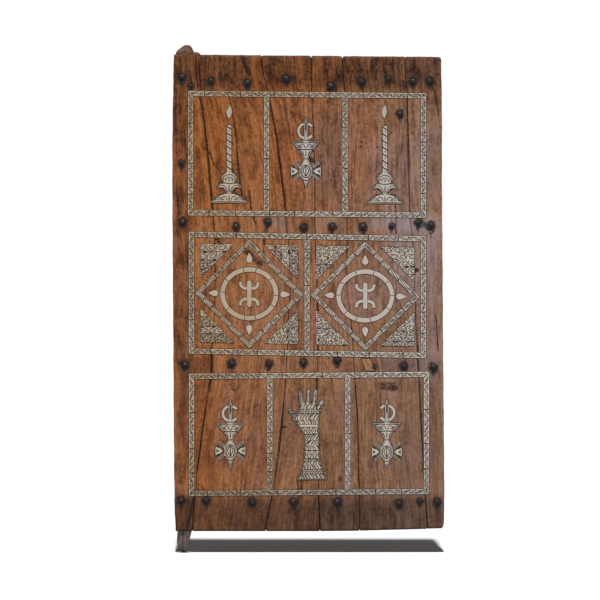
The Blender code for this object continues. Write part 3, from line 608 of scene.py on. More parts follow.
# Grey patches: partly weathered wood, partly painted sheen on the right side and the middle panel
GREY_SHEEN_PATCHES = (
    (410, 258, 22, 46, 0.58), (400, 223, 34, 8, 0.72), (433, 245, 9, 28, 0.5), (279, 223, 9, 8, 0.45),
    (395, 175, 30, 40, 0.22), (365, 296, 24, 24, 0.3), (330, 222, 16, 8, 0.25), (430, 330, 12, 50, 0.4),
    (405, 362, 26, 10, 0.3), (325, 160, 12, 40, 0.15), (430, 150, 12, 40, 0.12),
)
WARM_PATCHES = (
    (236, 150, 66, 70, 0.22), (310, 435, 120, 70, -0.14), (204, 430, 14, 70, 0.2), (250, 294, 44, 40, -0.1),
    (310, 515, 170, 18, -0.1), (290, 75, 60, 24, 0.3), (370, 75, 60, 24, 0.3), (362, 140, 14, 50, 0.2),
    (430, 75, 18, 24, 0.3), (290, 150, 24, 60, 0.12), (328, 150, 14, 60, 0.12), (182, 290, 11, 240, -0.1),
)

# Worm-eaten and gnarled places, speckled with dirt
EATEN_PATCHES = (
    (387, 386, 15, 5.5, 0.56), (396, 389, 9, 3, 0.14), (424, 66, 14, 9, 0.3), (247, 66, 7, 9, 0.3),
    (181, 474, 4, 14, 0.46), (179, 418, 3, 12, 0.46), (235, 387, 5, 6, 0.32),
)

# Nails that are not nodes of the frame, by row: column, line, size
EXTRA_NAILS = {
    "top": ((211, 81, 0.95), (286, 79, 1.1), (361.5, 81.5, 1.0), (389, 79, 0.6), (413, 81.5, 0.95)),
    "upper": ((236, 226.5, 0.9), (268, 222, 0.95), (332.3, 227, 1.0), (391.5, 226, 0.6), (418.6, 222.5, 0.9)),
    "lower": ((185, 365, 0.9), (268.8, 364, 1.0), (303.6, 362.4, 0.9), (403.8, 366, 1.0)),
    "bottom": ((206.5, 500.3, 1.0), (251.9, 502, 1.05), (337.5, 502, 1.0), (419.7, 501, 0.65)),
    "single": ((181.5, 163, 0.7), (400, 114, 0.8), (373.4, 366.9, 0.5), (191, 86, 0.5)),
}
SHORT_NAILS = "single"


def nail_nodes():
    return sorted(node for node in NODES if node.startswith("nail_"))


def nail_place(node):
    """The middle (x, z) of a CAD nail's head."""
    head = [vert.co for vert in NODES[node].data.vertices if vert.co.y < WOOD_FRONT - 0.0005]
    return sum((Vector((place.x, place.z)) for place in head), Vector((0.0, 0.0))) / len(head)


def all_nails():
    """Place and size of every nail on the front."""
    found = [(nail_place(node), 1.0) for node in nail_nodes()]
    for row in EXTRA_NAILS.values():
        found += [(spot(column, line), size) for column, line, size in row]
    return found


PROBE_DEPTH = -0.01
PROBE_FAR = 3.0
PROBE_INSET = 0.012
# The stile's ends are measured close to its edges, beside its pivots
STILE_INSET = 0.004
# How far from a board's ends its edges are measured, clear of the rounded corners
PROBE_CLEAR = 0.022
PROBES = 72
# How much finer the columns are at a board's edges, 0 to 1
FINE_EDGES = 0.8
COLUMN_WIDTH = 0.0046
ROW_HEIGHT = 0.0050
CORNER_ROUND = 0.004
# Clean wood at the door's two outer edges, as an extra distance from the next seam
OUTER_EDGE = 0.006
# How far each board's back edges reach into the gap beside them
SEAM_CLOSE = 0.0007
# Rounding of a board's top corners where the photograph shows a notch: board, its left and right corner
TOP_CORNERS = {2: (0.004, 0.006), 3: (0.006, 0.008), 4: (0.008, 0.004), 5: (0.004, 0.009)}
FOOT_CORNERS = {5: (0.003, 0.020)}


def probe(node, origin, direction):
    """Where a ray first meets a CAD node."""
    hit, place, _, _ = NODES[node].ray_cast(Vector(origin), Vector(direction))
    if not hit:
        raise RuntimeError(f"No surface of {node} at {origin}")
    return place


class Board:
    """One board's outline, measured on its CAD node."""

    def __init__(self, number):
        self.number = number
        self.node = BOARDS[number]
        self.back = STILE_BACK if number == 0 else WOOD_BACK
        low = LEAF_FOOT + PROBE_CLEAR
        high = LEAF_TOP - PROBE_CLEAR
        self.heights = np.linspace(low, high, PROBES)
        self.lefts = self.edge(-PROBE_FAR)
        self.rights = self.edge(PROBE_FAR)
        self.tops = [self.end(PROBE_FAR, share) for share in (0, 1)]
        self.feet = [self.end(-PROBE_FAR, share) for share in (0, 1)]
        self.width = float(np.mean(self.rights - self.lefts))

    def edge(self, far):
        way = (-1.0 if far > 0 else 1.0, 0.0, 0.0)
        return np.array([probe(self.node, (far, PROBE_DEPTH, height), way).x for height in self.heights])

    def end(self, far, share):
        """Height of the board's top or foot at its left or right edge."""
        row = -1 if far > 0 else 0
        inset = PROBE_INSET if self.number else STILE_INSET
        inset = -inset if share else inset
        x = (self.rights if share else self.lefts)[row] + inset
        return probe(self.node, (x, PROBE_DEPTH, far), (0.0, 0.0, -1.0 if far > 0 else 1.0)).z

    def sides(self, z):
        """Left and right edge at these heights, a little uneven."""
        uneven = 0.0004 * np.sin(z * 47.0 + 2.0) + 0.0002 * np.sin(z * 143.0)
        return np.interp(z, self.heights, self.lefts) + uneven, np.interp(z, self.heights, self.rights) + uneven

    def share(self, x, z):
        """How far across the board a place is, 0 to 1."""
        left, right = self.sides(z)
        return np.clip((x - left) / (right - left), 0.0, 1.0)


def rounded(distance, radius):
    """How far a rounded edge falls back at this distance from the edge."""
    into = np.clip(radius - distance, 0.0, radius)
    return radius - np.sqrt(np.maximum(radius ** 2 - into ** 2, 0.0))


def corner_cut(share, width, corners):
    """Fall of a board's end near its two corners."""
    left, right = corners
    return rounded(share * width, left) + rounded((1 - share) * width, right)


def shape_board(board, obj, sizes):
    """Moves a thick flat grid to the board's worn, hollowed shape."""
    flat = points_of(obj)
    even = flat[:, 0] + 0.5
    share = even - FINE_EDGES * np.sin(2 * np.pi * even) / (2 * np.pi)
    front = flat[:, 2] > -0.5
    plain = (CORNER_ROUND, CORNER_ROUND)
    foot = np.interp(share, (0, 1), board.feet)
    foot += corner_cut(share, board.width, FOOT_CORNERS.get(board.number, plain))
    top = np.interp(share, (0, 1), board.tops)
    top -= corner_cut(share, board.width, TOP_CORNERS.get(board.number, plain))
    still = np.zeros(len(share))
    rough = 0.0010 * ripple((share * board.width * 45, still, still), board.number)
    z = foot + (flat[:, 1] + 0.5) * (top + rough - foot)
    left, right = board.sides(z)
    meet = np.where(front, 0.0, SEAM_CLOSE)
    x = left - meet + share * (right - left + 2 * meet)
    wear = sizes.edge_wear * (1.0 + 0.6 * ripple((z * 6, still, still), board.number + 0.5))
    to_side = np.minimum(share, 1 - share) * (right - left)
    to_end = np.minimum(z - foot, top + rough - z)
    hollow = sizes.hollow * (0.5 + 0.5 * ripple((x * 9, still, z * 2), board.number))
    fine = 0.00022 * ripple((x * 70, still, z * 9), board.number)
    worn = rounded(to_side, wear) + rounded(to_end, wear * 1.2) + hollow + np.abs(fine)
    adzed = 0.0018 * ripple((x * 14, still, z * 8), board.number + 9)
    back = board.back - rounded(to_side, wear) - rounded(to_end, wear) - np.abs(adzed) * 0.6
    put_points(obj, np.stack((x, np.where(front, WOOD_FRONT + worn, back), z), axis=1))


def crack_cutter(name, path, width, depth):
    """A long wedge along a path of pixels, widest in its middle."""
    places = [spot(*pixel) for pixel in path]
    places = smooth_path(places, 6)
    points = []
    last = len(places) - 1
    for index, place in enumerate(places):
        run = places[min(index + 1, last)] - places[max(index - 1, 0)]
        aside = Vector((run.y, -run.x)).normalized()
        half = width * (0.12 + 0.5 * abs(math.sin(math.pi * index / last)) ** 0.7)
        wobble = aside * 0.0006 * noise.noise(Vector((place.y * 90, place.x * 90, 0)))
        for side in (-1, 1):
            edge = place + wobble + aside * half * side
            points.append((edge.x, WOOD_FRONT - 0.003, edge.y))
        points.append((place.x, WOOD_FRONT + depth * (half / width + 0.3), place.y))
    faces = [(0, 1, 2), (last * 3 + 2, last * 3 + 1, last * 3)]
    for index in range(last):
        here = index * 3
        for first, second in ((1, 0), (2, 1), (0, 2)):
            faces.append((here + first, here + second, here + 3 + second, here + 3 + first))
    cutter = mesh_object(name, points, faces)
    choose(cutter)
    bpy.ops.object.mode_set(mode="EDIT")
    bpy.ops.mesh.select_all(action="SELECT")
    bpy.ops.mesh.normals_make_consistent(inside=False)
    bpy.ops.object.mode_set(mode="OBJECT")
    return cutter


def cut_cracks(board, obj, sizes):
    """Cuts the board's drying cracks."""
    for index, (number, width, path) in enumerate(CRACKS):
        if number != board.number:
            continue
        cutter = crack_cutter(f"crack_{index}", path, width, sizes.crack_depth)
        apply_modifier(obj, "BOOLEAN", operation="DIFFERENCE", object=cutter, solver="EXACT")
        bpy.data.objects.remove(cutter)


def paint_board(board, obj):
    """Gives each point its grain place, tone, stains, dirt and painted sheen."""
    x, y, z = points_of(obj).T
    still = np.zeros(len(x))
    share = board.share(x, z)
    front = np.clip((0.5 * (WOOD_FRONT + board.back) - y) * 400, 0.0, 1.0)
    sway = 0.018 * ripple((x * 3, still, z * 3.2), 40 + board.number)
    grain = np.stack(((share - 0.5) * board.width + sway + board.number * 3.1, z + board.number * 0.7, y), axis=1)
    iron = still.copy()
    for place, size in all_nails():
        reach = 0.0215 * (0.4 + 0.6 * size)
        iron += 1.05 * np.exp(-((x - place.x) ** 2 + (z - place.y) ** 2) / reach ** 2)
        below = ((x - place.x) / (reach * 0.55)) ** 2 + ((z - place.y + reach * 1.5) / (reach * 1.5)) ** 2
        iron += 0.4 * np.exp(-below)
    to_left = share * board.width + (OUTER_EDGE if board.number == 0 else 0.0)
    to_right = (1 - share) * board.width + (OUTER_EDGE if board.number == len(BOARDS) - 1 else 0.0)
    to_end = np.minimum(z - min(board.feet), max(board.tops) - z)
    seam = 0.5 + 0.4 * ripple((still, still, z * 7), 60 + board.number)
    seam = seam * np.exp(-np.minimum(to_left, to_right) / 0.0034) + 0.55 * np.exp(-np.maximum(to_end, 0) / 0.006)
    dirt = still.copy()
    for reach, amount, path in STAINED_LINES:
        dirt += amount * near_path(x, z, path, reach * PIXEL)
    dirt += patches(x, z, EATEN_PATCHES)
    for number, width, path in CRACKS:
        if number == board.number:
            dirt += 0.85 * near_path(x, z, path, width * 1.1)
    for column, line, reach in KNOTS:
        middle = spot(column, line)
        dirt += 0.95 * np.exp(-((x - middle.x) ** 2 + (z - middle.y) ** 2) / (reach * PIXEL) ** 2)
    within = np.clip(np.minimum(share, 1 - share) * board.width / 0.002, 0.0, 1.0)
    # Darker where the face lies more than 1.6 mm behind the front, as in the cracks and on the worn ends
    dirt += np.clip((y - WOOD_FRONT - 0.0016) / 0.003, 0.0, 1.0) * within * 0.7
    grey_sheen = patches(x, z, GREY_SHEEN_PATCHES)
    dark = patches(x, z, DARK_PATCHES)
    # Warmer to the left, duller to the right: partly the wood's own tone, partly painted sheen on the right
    warm = 0.92 - 0.8 * (x + 0.04) + patches(x, z, WARM_PATCHES)
    behind = 1 - front
    dirt = (dirt + seam) * front + seam * 0.35 * behind
    marks = np.stack((iron * front, dirt, grey_sheen * front + 0.12 * behind, dark * front + 0.25 * behind), axis=1)
    store(obj, "grain", "FLOAT_VECTOR", "vector", grain)
    store(obj, "marks", "FLOAT_COLOR", "color", np.clip(marks, 0.0, 1.0))
    store(obj, "tone", "FLOAT", "value", np.clip(warm * front + 0.5 * behind, 0.0, 1.0))


def store(obj, name, kind, field, values):
    """Stores one value per point as an attribute."""
    layer = obj.data.attributes.new(name, kind, "POINT")
    layer.data.foreach_set(field, np.ascontiguousarray(values, dtype=np.float32).ravel())


def make_board(number, sizes):
    """One board: a thick grid, shaped, cracked and painted."""
    board = Board(number)
    columns = max(16, round(board.width / COLUMN_WIDTH))
    rows = round((LEAF_TOP - LEAF_FOOT) / ROW_HEIGHT)
    deselect()
    bpy.ops.mesh.primitive_grid_add(x_subdivisions=columns, y_subdivisions=rows, size=1)
    obj = bpy.context.object
    obj.name = f"{board.node}_wood"
    apply_modifier(obj, "SOLIDIFY", thickness=1.0, offset=-1.0)
    shape_board(board, obj, sizes)
    cut_cracks(board, obj, sizes)
    paint_board(board, obj)
    coat(obj, "board_wood", board_finish)
    smooth(obj, 40)
    settle(obj, "leaf", "stile_wood" if number == 0 else "plank_wood", board.node)


class DOOR_OT_boards(bpy.types.Operator):
    """Makes the pivot stile and the five planks, worn, cracked and stained"""

    bl_idname = "inlaid_door.boards"
    bl_label = "Boards"

    def execute(self, context):
        for number in range(len(BOARDS)):
            make_board(number, context.scene.door_sizes)
        return {"FINISHED"}


# Levels of the two pivots: height, middle x, half width
FOOT_RINGS = (
    (LEAF_FOOT + 0.012, 0.001, 0.0270), (LEAF_FOOT - 0.004, 0.001, 0.0268), (0.076, -0.002, 0.0252),
    (0.056, -0.005, 0.0225), (0.040, -0.007, 0.0195), (0.028, -0.007, 0.0160), (0.0205, -0.004, 0.0118),
    (SOCKET_TOP + 0.0005, 0.0, 0.0085), (SOCKET_TOP - 0.006, 0.0, 0.0080),
)
HEAD_RINGS = (
    (LEAF_TOP - 0.020, 0.002, 0.0345), (LEAF_TOP - 0.002, 0.002, 0.0350), (LEAF_TOP + 0.008, 0.003, 0.0345),
    (LEAF_TOP + 0.015, 0.003, 0.0320), (LEAF_TOP + 0.021, 0.004, 0.0270), (LEAF_TOP + 0.027, 0.008, 0.0215),
    (LEAF_TOP + 0.033, 0.009, 0.0160), (HEAD_TOP + 0.002, 0.010, 0.0080),
)
SHOULDER_RINGS = (
    (LEAF_TOP - 0.012, 0.040, 0.0200), (LEAF_TOP + 0.002, 0.040, 0.0195), (LEAF_TOP + 0.007, 0.040, 0.0180),
    (LEAF_TOP + 0.0105, 0.038, 0.0140), (LEAF_TOP + 0.0125, 0.037, 0.0070),
)
PIVOT_SIDES = 36


def loft_rings(name, rings, roughness, seed):
    """A lumpy turned form: a filled circle drawn through the rings by extruding and resizing."""
    height, middle, radius = rings[0]
    deselect()
    bpy.ops.mesh.primitive_circle_add(vertices=PIVOT_SIDES, radius=radius, fill_type="NGON",
                                      location=(middle, 0.0, height))
    obj = bpy.context.object
    obj.name = name
    bpy.ops.object.transform_apply(location=True)
    bpy.ops.object.mode_set(mode="EDIT")
    bpy.ops.mesh.select_all(action="SELECT")
    for (low, before, first), (high, after, second) in zip(rings, rings[1:]):
        shift = {"value": (after - before, 0.0, high - low)}
        bpy.ops.mesh.extrude_region_move(TRANSFORM_OT_translate=shift)
        share = second / first
        bpy.ops.transform.resize(value=(share, share, 1.0), center_override=(after, 0.0, high))
    bpy.ops.mesh.select_all(action="SELECT")
    bpy.ops.mesh.normals_make_consistent(inside=False)
    bpy.ops.object.mode_set(mode="OBJECT")
    apply_modifier(obj, "SUBSURF", levels=2, render_levels=2)
    places = points_of(obj)
    x, y, z = places.T
    lump = roughness * ripple((x * 55, y * 55, z * 22), seed) + roughness * 0.4 * ripple((x * 160, y * 160, z * 30), seed)
    away = np.hypot(x, y) + 0.004
    fade = np.clip((z - SOCKET_TOP - 0.001) / 0.008, 0.0, 1.0)
    places[:, 0] += x / away * lump * fade
    places[:, 1] = np.clip(y + y / away * lump * fade, WOOD_FRONT + 0.0005, STILE_BACK - 0.0005)
    put_points(obj, places)
    smooth(obj, 50)
    return obj


class DOOR_OT_pivots(bpy.types.Operator):
    """Makes the weathered foot pivot and the domed head pivot of the stile, with its shoulder"""

    bl_idname = "inlaid_door.pivots"
    bl_label = "Pivots"

    def execute(self, context):
        foot = loft_rings("foot_pivot", FOOT_RINGS, 0.0012, 3)
        coat(foot, "foot_wood", foot_finish)
        settle(foot, "leaf", "stile_wood")
        for name, rings in (("head_pivot", HEAD_RINGS), ("head_shoulder", SHOULDER_RINGS)):
            head = loft_rings(name, rings, 0.0018, 5)
            coat(head, "head_wood", head_finish)
            settle(head, "leaf", "stile_wood")
        return {"FINISHED"}


BATTEN_STEP = 0.02
BATTEN_CHAMFER = 0.005


def make_batten(node, seed):
    """One hewn batten: a chamfered bar with an uneven adzed face."""
    low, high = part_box(node)
    middle = (low + high) / 2
    size = high - low
    deselect()
    bpy.ops.mesh.primitive_cube_add(size=1, location=middle, scale=size)
    obj = bpy.context.object
    obj.name = f"{node}_wood"
    bpy.ops.object.transform_apply(location=True, scale=True)
    bpy.ops.object.mode_set(mode="EDIT")
    bpy.ops.mesh.select_all(action="SELECT")
    bpy.ops.mesh.bevel(offset=BATTEN_CHAMFER, segments=2, affect="EDGES")
    bpy.ops.object.mode_set(mode="OBJECT")
    slice_along(obj, low.x, high.x, BATTEN_STEP)
    places = points_of(obj)
    x, y, z = places.T
    still = np.zeros(len(x))
    edge = 0.0022 * ripple((x * 7, still, z * 9), seed)
    face = 0.0016 * (ripple((x * 16, still, z * 22), seed + 3) - 1.0)
    behind = np.clip((y - WOOD_BACK - 0.004) / 0.02, 0.0, 1.0)
    places[:, 1] = y + face * behind
    places[:, 2] = z + edge * behind
    put_points(obj, places)
    coat(obj, "batten_wood", batten_finish)
    smooth(obj, 35)
    settle(obj, "leaf", "batten_wood", node)


def slice_along(obj, start, end, step):
    """Cuts a mesh across X at even steps, so that its faces can be made uneven."""
    choose(obj)
    bpy.ops.object.mode_set(mode="EDIT")
    for index in range(1, round((end - start) / step)):
        bpy.ops.mesh.select_all(action="SELECT")
        place = (start + index * step, 0.0, 0.0)
        bpy.ops.mesh.bisect(plane_co=place, plane_no=(1.0, 0.0, 0.0))
    bpy.ops.object.mode_set(mode="OBJECT")


class DOOR_OT_battens(bpy.types.Operator):
    """Makes the four battens that hold the planks together behind"""

    bl_idname = "inlaid_door.battens"
    bl_label = "Battens"

    def execute(self, context):
        for index, node in enumerate(BATTENS):
            make_batten(node, 20 + index)
        return {"FINISHED"}


class DOOR_OT_socket(bpy.types.Operator):
    """Makes the iron cup that the foot pivot turns in"""

    bl_idname = "inlaid_door.socket"
    bl_label = "Foot socket"

    def execute(self, context):
        cup = bpy.data.objects.new("socket_cup", NODES["foot_socket"].data.copy())
        context.scene.collection.objects.link(cup)
        choose(cup)
        bpy.ops.object.mode_set(mode="EDIT")
        bpy.ops.mesh.select_all(action="SELECT")
        bpy.ops.mesh.remove_doubles(threshold=WELD)
        bpy.ops.mesh.dissolve_limited(angle_limit=math.radians(2))
        bpy.ops.object.mode_set(mode="OBJECT")
        apply_modifier(cup, "BEVEL", width=0.0009, segments=2, limit_method="ANGLE", angle_limit=math.radians(40))
        coat(cup, "forged_iron", iron_finish)
        smooth(cup, 30)
        settle(cup, "socket", "forged_iron", "foot_socket")
        return {"FINISHED"}


def area(outline):
    """Signed area of a closed outline, above 0 if it runs anticlockwise seen from the front."""
    total = 0.0
    for here, following in zip(outline, outline[1:] + outline[:1]):
        total += here.x * following.y - following.x * here.y
    return total / 2


def outline_loops(node):
    """Closed (x, z) outlines of a CAD node's front, anticlockwise, the largest first."""
    shape = bmesh.new()
    shape.from_mesh(NODES[node].data)
    bmesh.ops.remove_doubles(shape, verts=shape.verts, dist=WELD)
    shape.normal_update()
    front = {face for face in shape.faces if face.normal.y < -0.9}
    beside = {}
    for edge in shape.edges:
        if sum(face in front for face in edge.link_faces) == 1:
            for vert in edge.verts:
                beside.setdefault(vert, []).append(edge.other_vert(vert))
    loops = []
    while beside:
        walk = [next(iter(beside))]
        while True:
            onward = [vert for vert in beside[walk[-1]] if vert not in walk[-2:]]
            onward = [vert for vert in onward if vert is walk[0] or vert not in walk]
            if not onward or onward[0] is walk[0]:
                break
            walk.append(onward[0])
        outline = [Vector((vert.co.x, vert.co.z)) for vert in walk]
        for vert in walk:
            del beside[vert]
        loops.append(outline if area(outline) > 0 else outline[::-1])
    shape.free()
    return sorted(loops, key=area, reverse=True)


def grown(outline, margin):
    """An anticlockwise outline moved outwards, its sharp corners cut short."""
    moved = []
    for before, here, after in zip(outline[-1:] + outline[:-1], outline, outline[1:] + outline[:1]):
        arriving = (here - before).normalized()
        leaving = (after - here).normalized()
        outward = Vector((arriving.y + leaving.y, -arriving.x - leaving.x))
        moved.append(here + outward * margin / max(0.5, 1 + arriving.dot(leaving)))
    return moved


def smooth_path(path, steps):
    """An open path drawn as a smooth curve through its points."""
    ends = [path[0] * 2 - path[1], *path, path[-1] * 2 - path[-2]]
    drawn = []
    for before, start, end, after in zip(ends, ends[1:], ends[2:], ends[3:]):
        for step in range(steps):
            t = step / steps
            lean = end - before
            sharp = (start - end) * 3 + after - before
            drawn.append((start * 2 + lean * t + bend_term(before, start, end, after) * t * t + sharp * t ** 3) / 2)
    return drawn + [path[-1]]


def bend_term(before, start, end, after):
    """The squared term of a curve through four points."""
    return before * 2 - start * 5 + end * 4 - after


def inside(place, outline):
    """True if the place lies within the outline."""
    within = False
    for here, following in zip(outline, outline[1:] + outline[:1]):
        if (here.y > place.y) != (following.y > place.y):
            crossing = here.x + (place.y - here.y) / (following.y - here.y) * (following.x - here.x)
            within ^= place.x < crossing
    return within


BONE_DEPTH = 0.0028
BONE_CHAMFER = 0.00035
BED_PROUD = 0.0002
LINE_PROUD = 0.00008
LINE_DEPTH = 0.0003
BED_DEPTH = 0.0020
LINE_STEP = 0.0021


class Inlay:
    """One inlaid piece, drawn on the door's front: bone plates in dark mastic, with engraved lines."""

    def __init__(self, name, sizes):
        self.name = name
        self.sizes = sizes
        self.chance = random.Random(name)
        self.ages = (0.0, 1.0)
        self.plates = []
        self.beds = []
        self.ribbons = []
        self.ground = None
        self.front = BONE_FRONT
        self.level = BONE_FRONT

    def plate(self, outline, margin=None):
        """Lays one plate of bone, which the lines that follow are engraved in."""
        low = self.front + self.chance.uniform(0.0, 0.00025)
        self.plates.append((outline, low, self.chance.uniform(*self.ages)))
        self.beds.append(self.closed_band(outline, (margin or self.sizes.mastic_margin) * 2))
        self.level = low - LINE_PROUD
        self.ground = grown(outline, -0.0004)

    def closed_band(self, outline, width):
        """A band of that width with the outline in its middle."""
        path = even_steps(outline + outline[:1], LINE_STEP * 2)[:-1]
        left = []
        right = []
        for before, place, after in zip(path[-1:] + path[:-1], path, path[1:] + path[:1]):
            way = after - before
            aside = Vector((-way.y, way.x)).normalized() * width / 2
            left.append(place + aside)
            right.append(place - aside)
        level = WOOD_FRONT - BED_PROUD + self.chance.uniform(0.0, 0.00012)
        return left + left[:1], right + right[:1], level

    def line(self, path, width=None, swell=0.0):
        """Engraves a line; with swell it thins towards both ends."""
        width = width or self.sizes.stroke
        points = even_steps(path, LINE_STEP)
        count = max(len(points) - 1, 1)
        run = []
        for index, place in enumerate(points):
            full = abs(math.sin(math.pi * index / count)) ** 0.7
            half = width / 2 * max(1 - swell + swell * full, 0.08)
            if inside(place, self.ground):
                run.append((place, half))
            else:
                self.keep(run)
                run = []
        self.keep(run)

    def keep(self, run):
        if len(run) < 2:
            return
        left = []
        right = []
        for index, (place, half) in enumerate(run):
            way = run[min(index + 1, len(run) - 1)][0] - run[max(index - 1, 0)][0]
            aside = Vector((-way.y, way.x)).normalized() * half
            left.append(place + aside)
            right.append(place - aside)
        self.ribbons.append((left, right, self.level))

    def contour(self, outline, inset, width):
        """Engraves a line that follows the outline just inside it."""
        inner = grown(outline, -inset)
        self.line(inner + inner[:1], width)

    def ring(self, middle, across, along, width=None, turn=0.0, share=1.0):
        """Engraves an ellipse or a share of one, from the turn on."""
        steps = 18
        path = []
        for step in range(steps + 1):
            angle = turn + 2 * math.pi * share * step / steps
            path.append(middle + Vector((across * math.cos(angle), along * math.sin(angle))))
        self.line(path, width)

    def spiral(self, middle, radius, turns, start, hand=1, width=None):
        """Engraves a spiral from its outside to its middle."""
        steps = round(16 * turns)
        path = []
        for step in range(steps + 1):
            share = step / steps
            angle = start + hand * 2 * math.pi * turns * share
            reach = radius * (1 - 0.82 * share)
            path.append(middle + Vector((math.cos(angle), math.sin(angle))) * reach)
        self.line(path, width)

    def make(self, slot, *nodes, finish="bone", build=None):
        """Builds the piece: plates as bevelled solids, beds and lines as thin ones, joined."""
        plates = plate_solids(self.name, self.plates, BONE_DEPTH, BONE_CHAMFER)
        coat(plates, finish, build or bone_finish)
        parts = [plates, ribbon_solids(f"{self.name}_bed", self.beds, BED_DEPTH)]
        if self.ribbons:
            parts.append(ribbon_solids(f"{self.name}_lines", self.ribbons, LINE_DEPTH))
        for dark in parts[1:]:
            coat(dark, "mastic", mastic_finish)
        choose(*parts)
        bpy.ops.object.join()
        settle(plates, "leaf", slot, *nodes)


def even_steps(path, step):
    """A path with points at about even steps."""
    points = [path[0]]
    for start, end in zip(path, path[1:]):
        count = max(1, round((end - start).length / step))
        points += [start.lerp(end, index / count) for index in range(1, count + 1)]
    return points


def plate_solids(name, plates, depth, chamfer):
    """Flat outlines extruded to plates with chamfered front edges; each keeps its shade."""
    points = []
    faces = []
    shades = []
    for outline, level, shade in plates:
        faces.append(range(len(points), len(points) + len(outline)))
        points += [(place.x, level + depth, place.y) for place in outline]
        shades += [shade] * len(outline)
    obj = mesh_object(name, points, faces)
    store(obj, "shade", "FLOAT", "value", np.array(shades))
    choose(obj)
    bpy.ops.object.mode_set(mode="EDIT")
    bpy.ops.mesh.select_all(action="SELECT")
    bpy.ops.mesh.extrude_region_move(TRANSFORM_OT_translate={"value": (0.0, -depth, 0.0)})
    bpy.ops.mesh.bevel(offset=chamfer, segments=1, affect="EDGES")
    bpy.ops.mesh.select_all(action="SELECT")
    bpy.ops.mesh.normals_make_consistent(inside=False)
    bpy.ops.object.mode_set(mode="OBJECT")
    return obj


def ribbon_solids(name, ribbons, depth):
    """Dark lines as thin solids that stand a hair over what they are set in."""
    points = []
    faces = []
    for left, right, level in ribbons:
        first = len(points)
        for one, other in zip(left, right):
            points += [(one.x, level + depth, one.y), (other.x, level + depth, other.y)]
        for index in range(first, len(points) - 2, 2):
            faces.append((index, index + 1, index + 3, index + 2))
    obj = mesh_object(name, points, faces)
    choose(obj)
    bpy.ops.object.mode_set(mode="EDIT")
    bpy.ops.mesh.select_all(action="SELECT")
    bpy.ops.mesh.remove_doubles(threshold=WELD)
    bpy.ops.mesh.extrude_region_move(TRANSFORM_OT_translate={"value": (0.0, -depth, 0.0)})
    bpy.ops.mesh.select_all(action="SELECT")
    bpy.ops.mesh.normals_make_consistent(inside=False)
    bpy.ops.object.mode_set(mode="OBJECT")
    return obj


class Strip:
    """A straight strip of bone: where its middle line starts, its ways along and across, and its size."""

    def __init__(self, outer_start, outer_end, inner_start, inner_end):
        self.along = (outer_end - outer_start).normalized()
        self.across = Vector((-self.along.y, self.along.x))
        if (inner_start - outer_start).dot(self.across) < 0:
            self.across = -self.across
        self.width = (inner_start - outer_start).dot(self.across)
        self.start = outer_start + self.across * self.width / 2
        self.length = (outer_end - outer_start).length

    def at(self, along, across):
        return self.start + self.along * along + self.across * across


def corners_of(outline):
    """The four corners of a squarish outline: top left, top right, foot right, foot left."""
    ways = (Vector((-1, 1)), Vector((1, 1)), Vector((1, -1)), Vector((-1, -1)))
    return [max(outline, key=way.dot) for way in ways]


# How far the photograph's dividers stand from the frame's, in pixels
DIVIDER_SHIFTS = {"border_upper": (1.0, -0.9), "border_middle": (0.0,), "border_lower": (1.0, -0.8)}


def border_bands(node):
    """The bands of a border as (outer start, outer end, inner start, inner end)."""
    loops = outline_loops(node)
    outer = corners_of(loops[0])
    fields = sorted((corners_of(loop) for loop in loops[1:]), key=lambda field: field[0].x)
    first = fields[0]
    last = fields[-1]
    bands = [
        (outer[0], outer[1], first[0], last[1]),
        (outer[3], outer[2], first[3], last[2]),
        (outer[3], outer[0], first[3], first[0]),
        (outer[2], outer[1], last[2], last[1]),
    ]
    for left, right, columns in zip(fields, fields[1:], DIVIDER_SHIFTS[node]):
        aside = Vector((columns * PIXEL, 0.0))
        bands.append([corner + aside for corner in (left[2], left[1], right[3], right[0])])
    return bands


def split_band(inlay, band, usual):
    """Cuts a band into strips of uneven length and returns their corner points."""
    outer_start, outer_end, inner_start, inner_end = band
    along = (outer_end - outer_start).normalized()
    whole = (outer_end - outer_start).length
    ahead = (inner_start - outer_start).dot(along)
    cuts = []
    place = usual * inlay.chance.uniform(0.5, 1.1)
    while place < whole - usual * 0.45:
        cuts.append(place)
        place += usual * inlay.chance.uniform(0.6, 1.35)
    gap = inlay.sizes.strip_gap / 2
    marks = [(outer_start, inner_start)]
    for cut in cuts:
        lean = inlay.chance.uniform(-0.0015, 0.0015)
        outer = outer_start + along * (cut + lean)
        inner = inner_start + along * (cut - ahead - lean)
        marks += [(outer - along * gap, inner - along * gap), (outer + along * gap, inner + along * gap)]
    marks.append((outer_end, inner_end))
    return [(*marks[index], *marks[index + 1]) for index in range(0, len(marks), 2)]


def engrave_border(inlay, strip):
    """Engraves one strip with pointed leaves and curls by turns, and dark points between them."""
    count = max(1, round(strip.length / inlay.sizes.border_pitch))
    pitch = strip.length / count
    half = strip.width / 2 - 0.0042
    for index in range(count):
        start = index * pitch
        split = start + pitch * inlay.chance.uniform(0.56, 0.66)
        hand = inlay.chance.choice((-1, 1))
        engrave_leaf(inlay, strip, start, split, half, hand)
        engrave_curl(inlay, strip, split, start + pitch, half, hand)
        engrave_points(inlay, strip, split, half)
        engrave_points(inlay, strip, start + pitch, half)


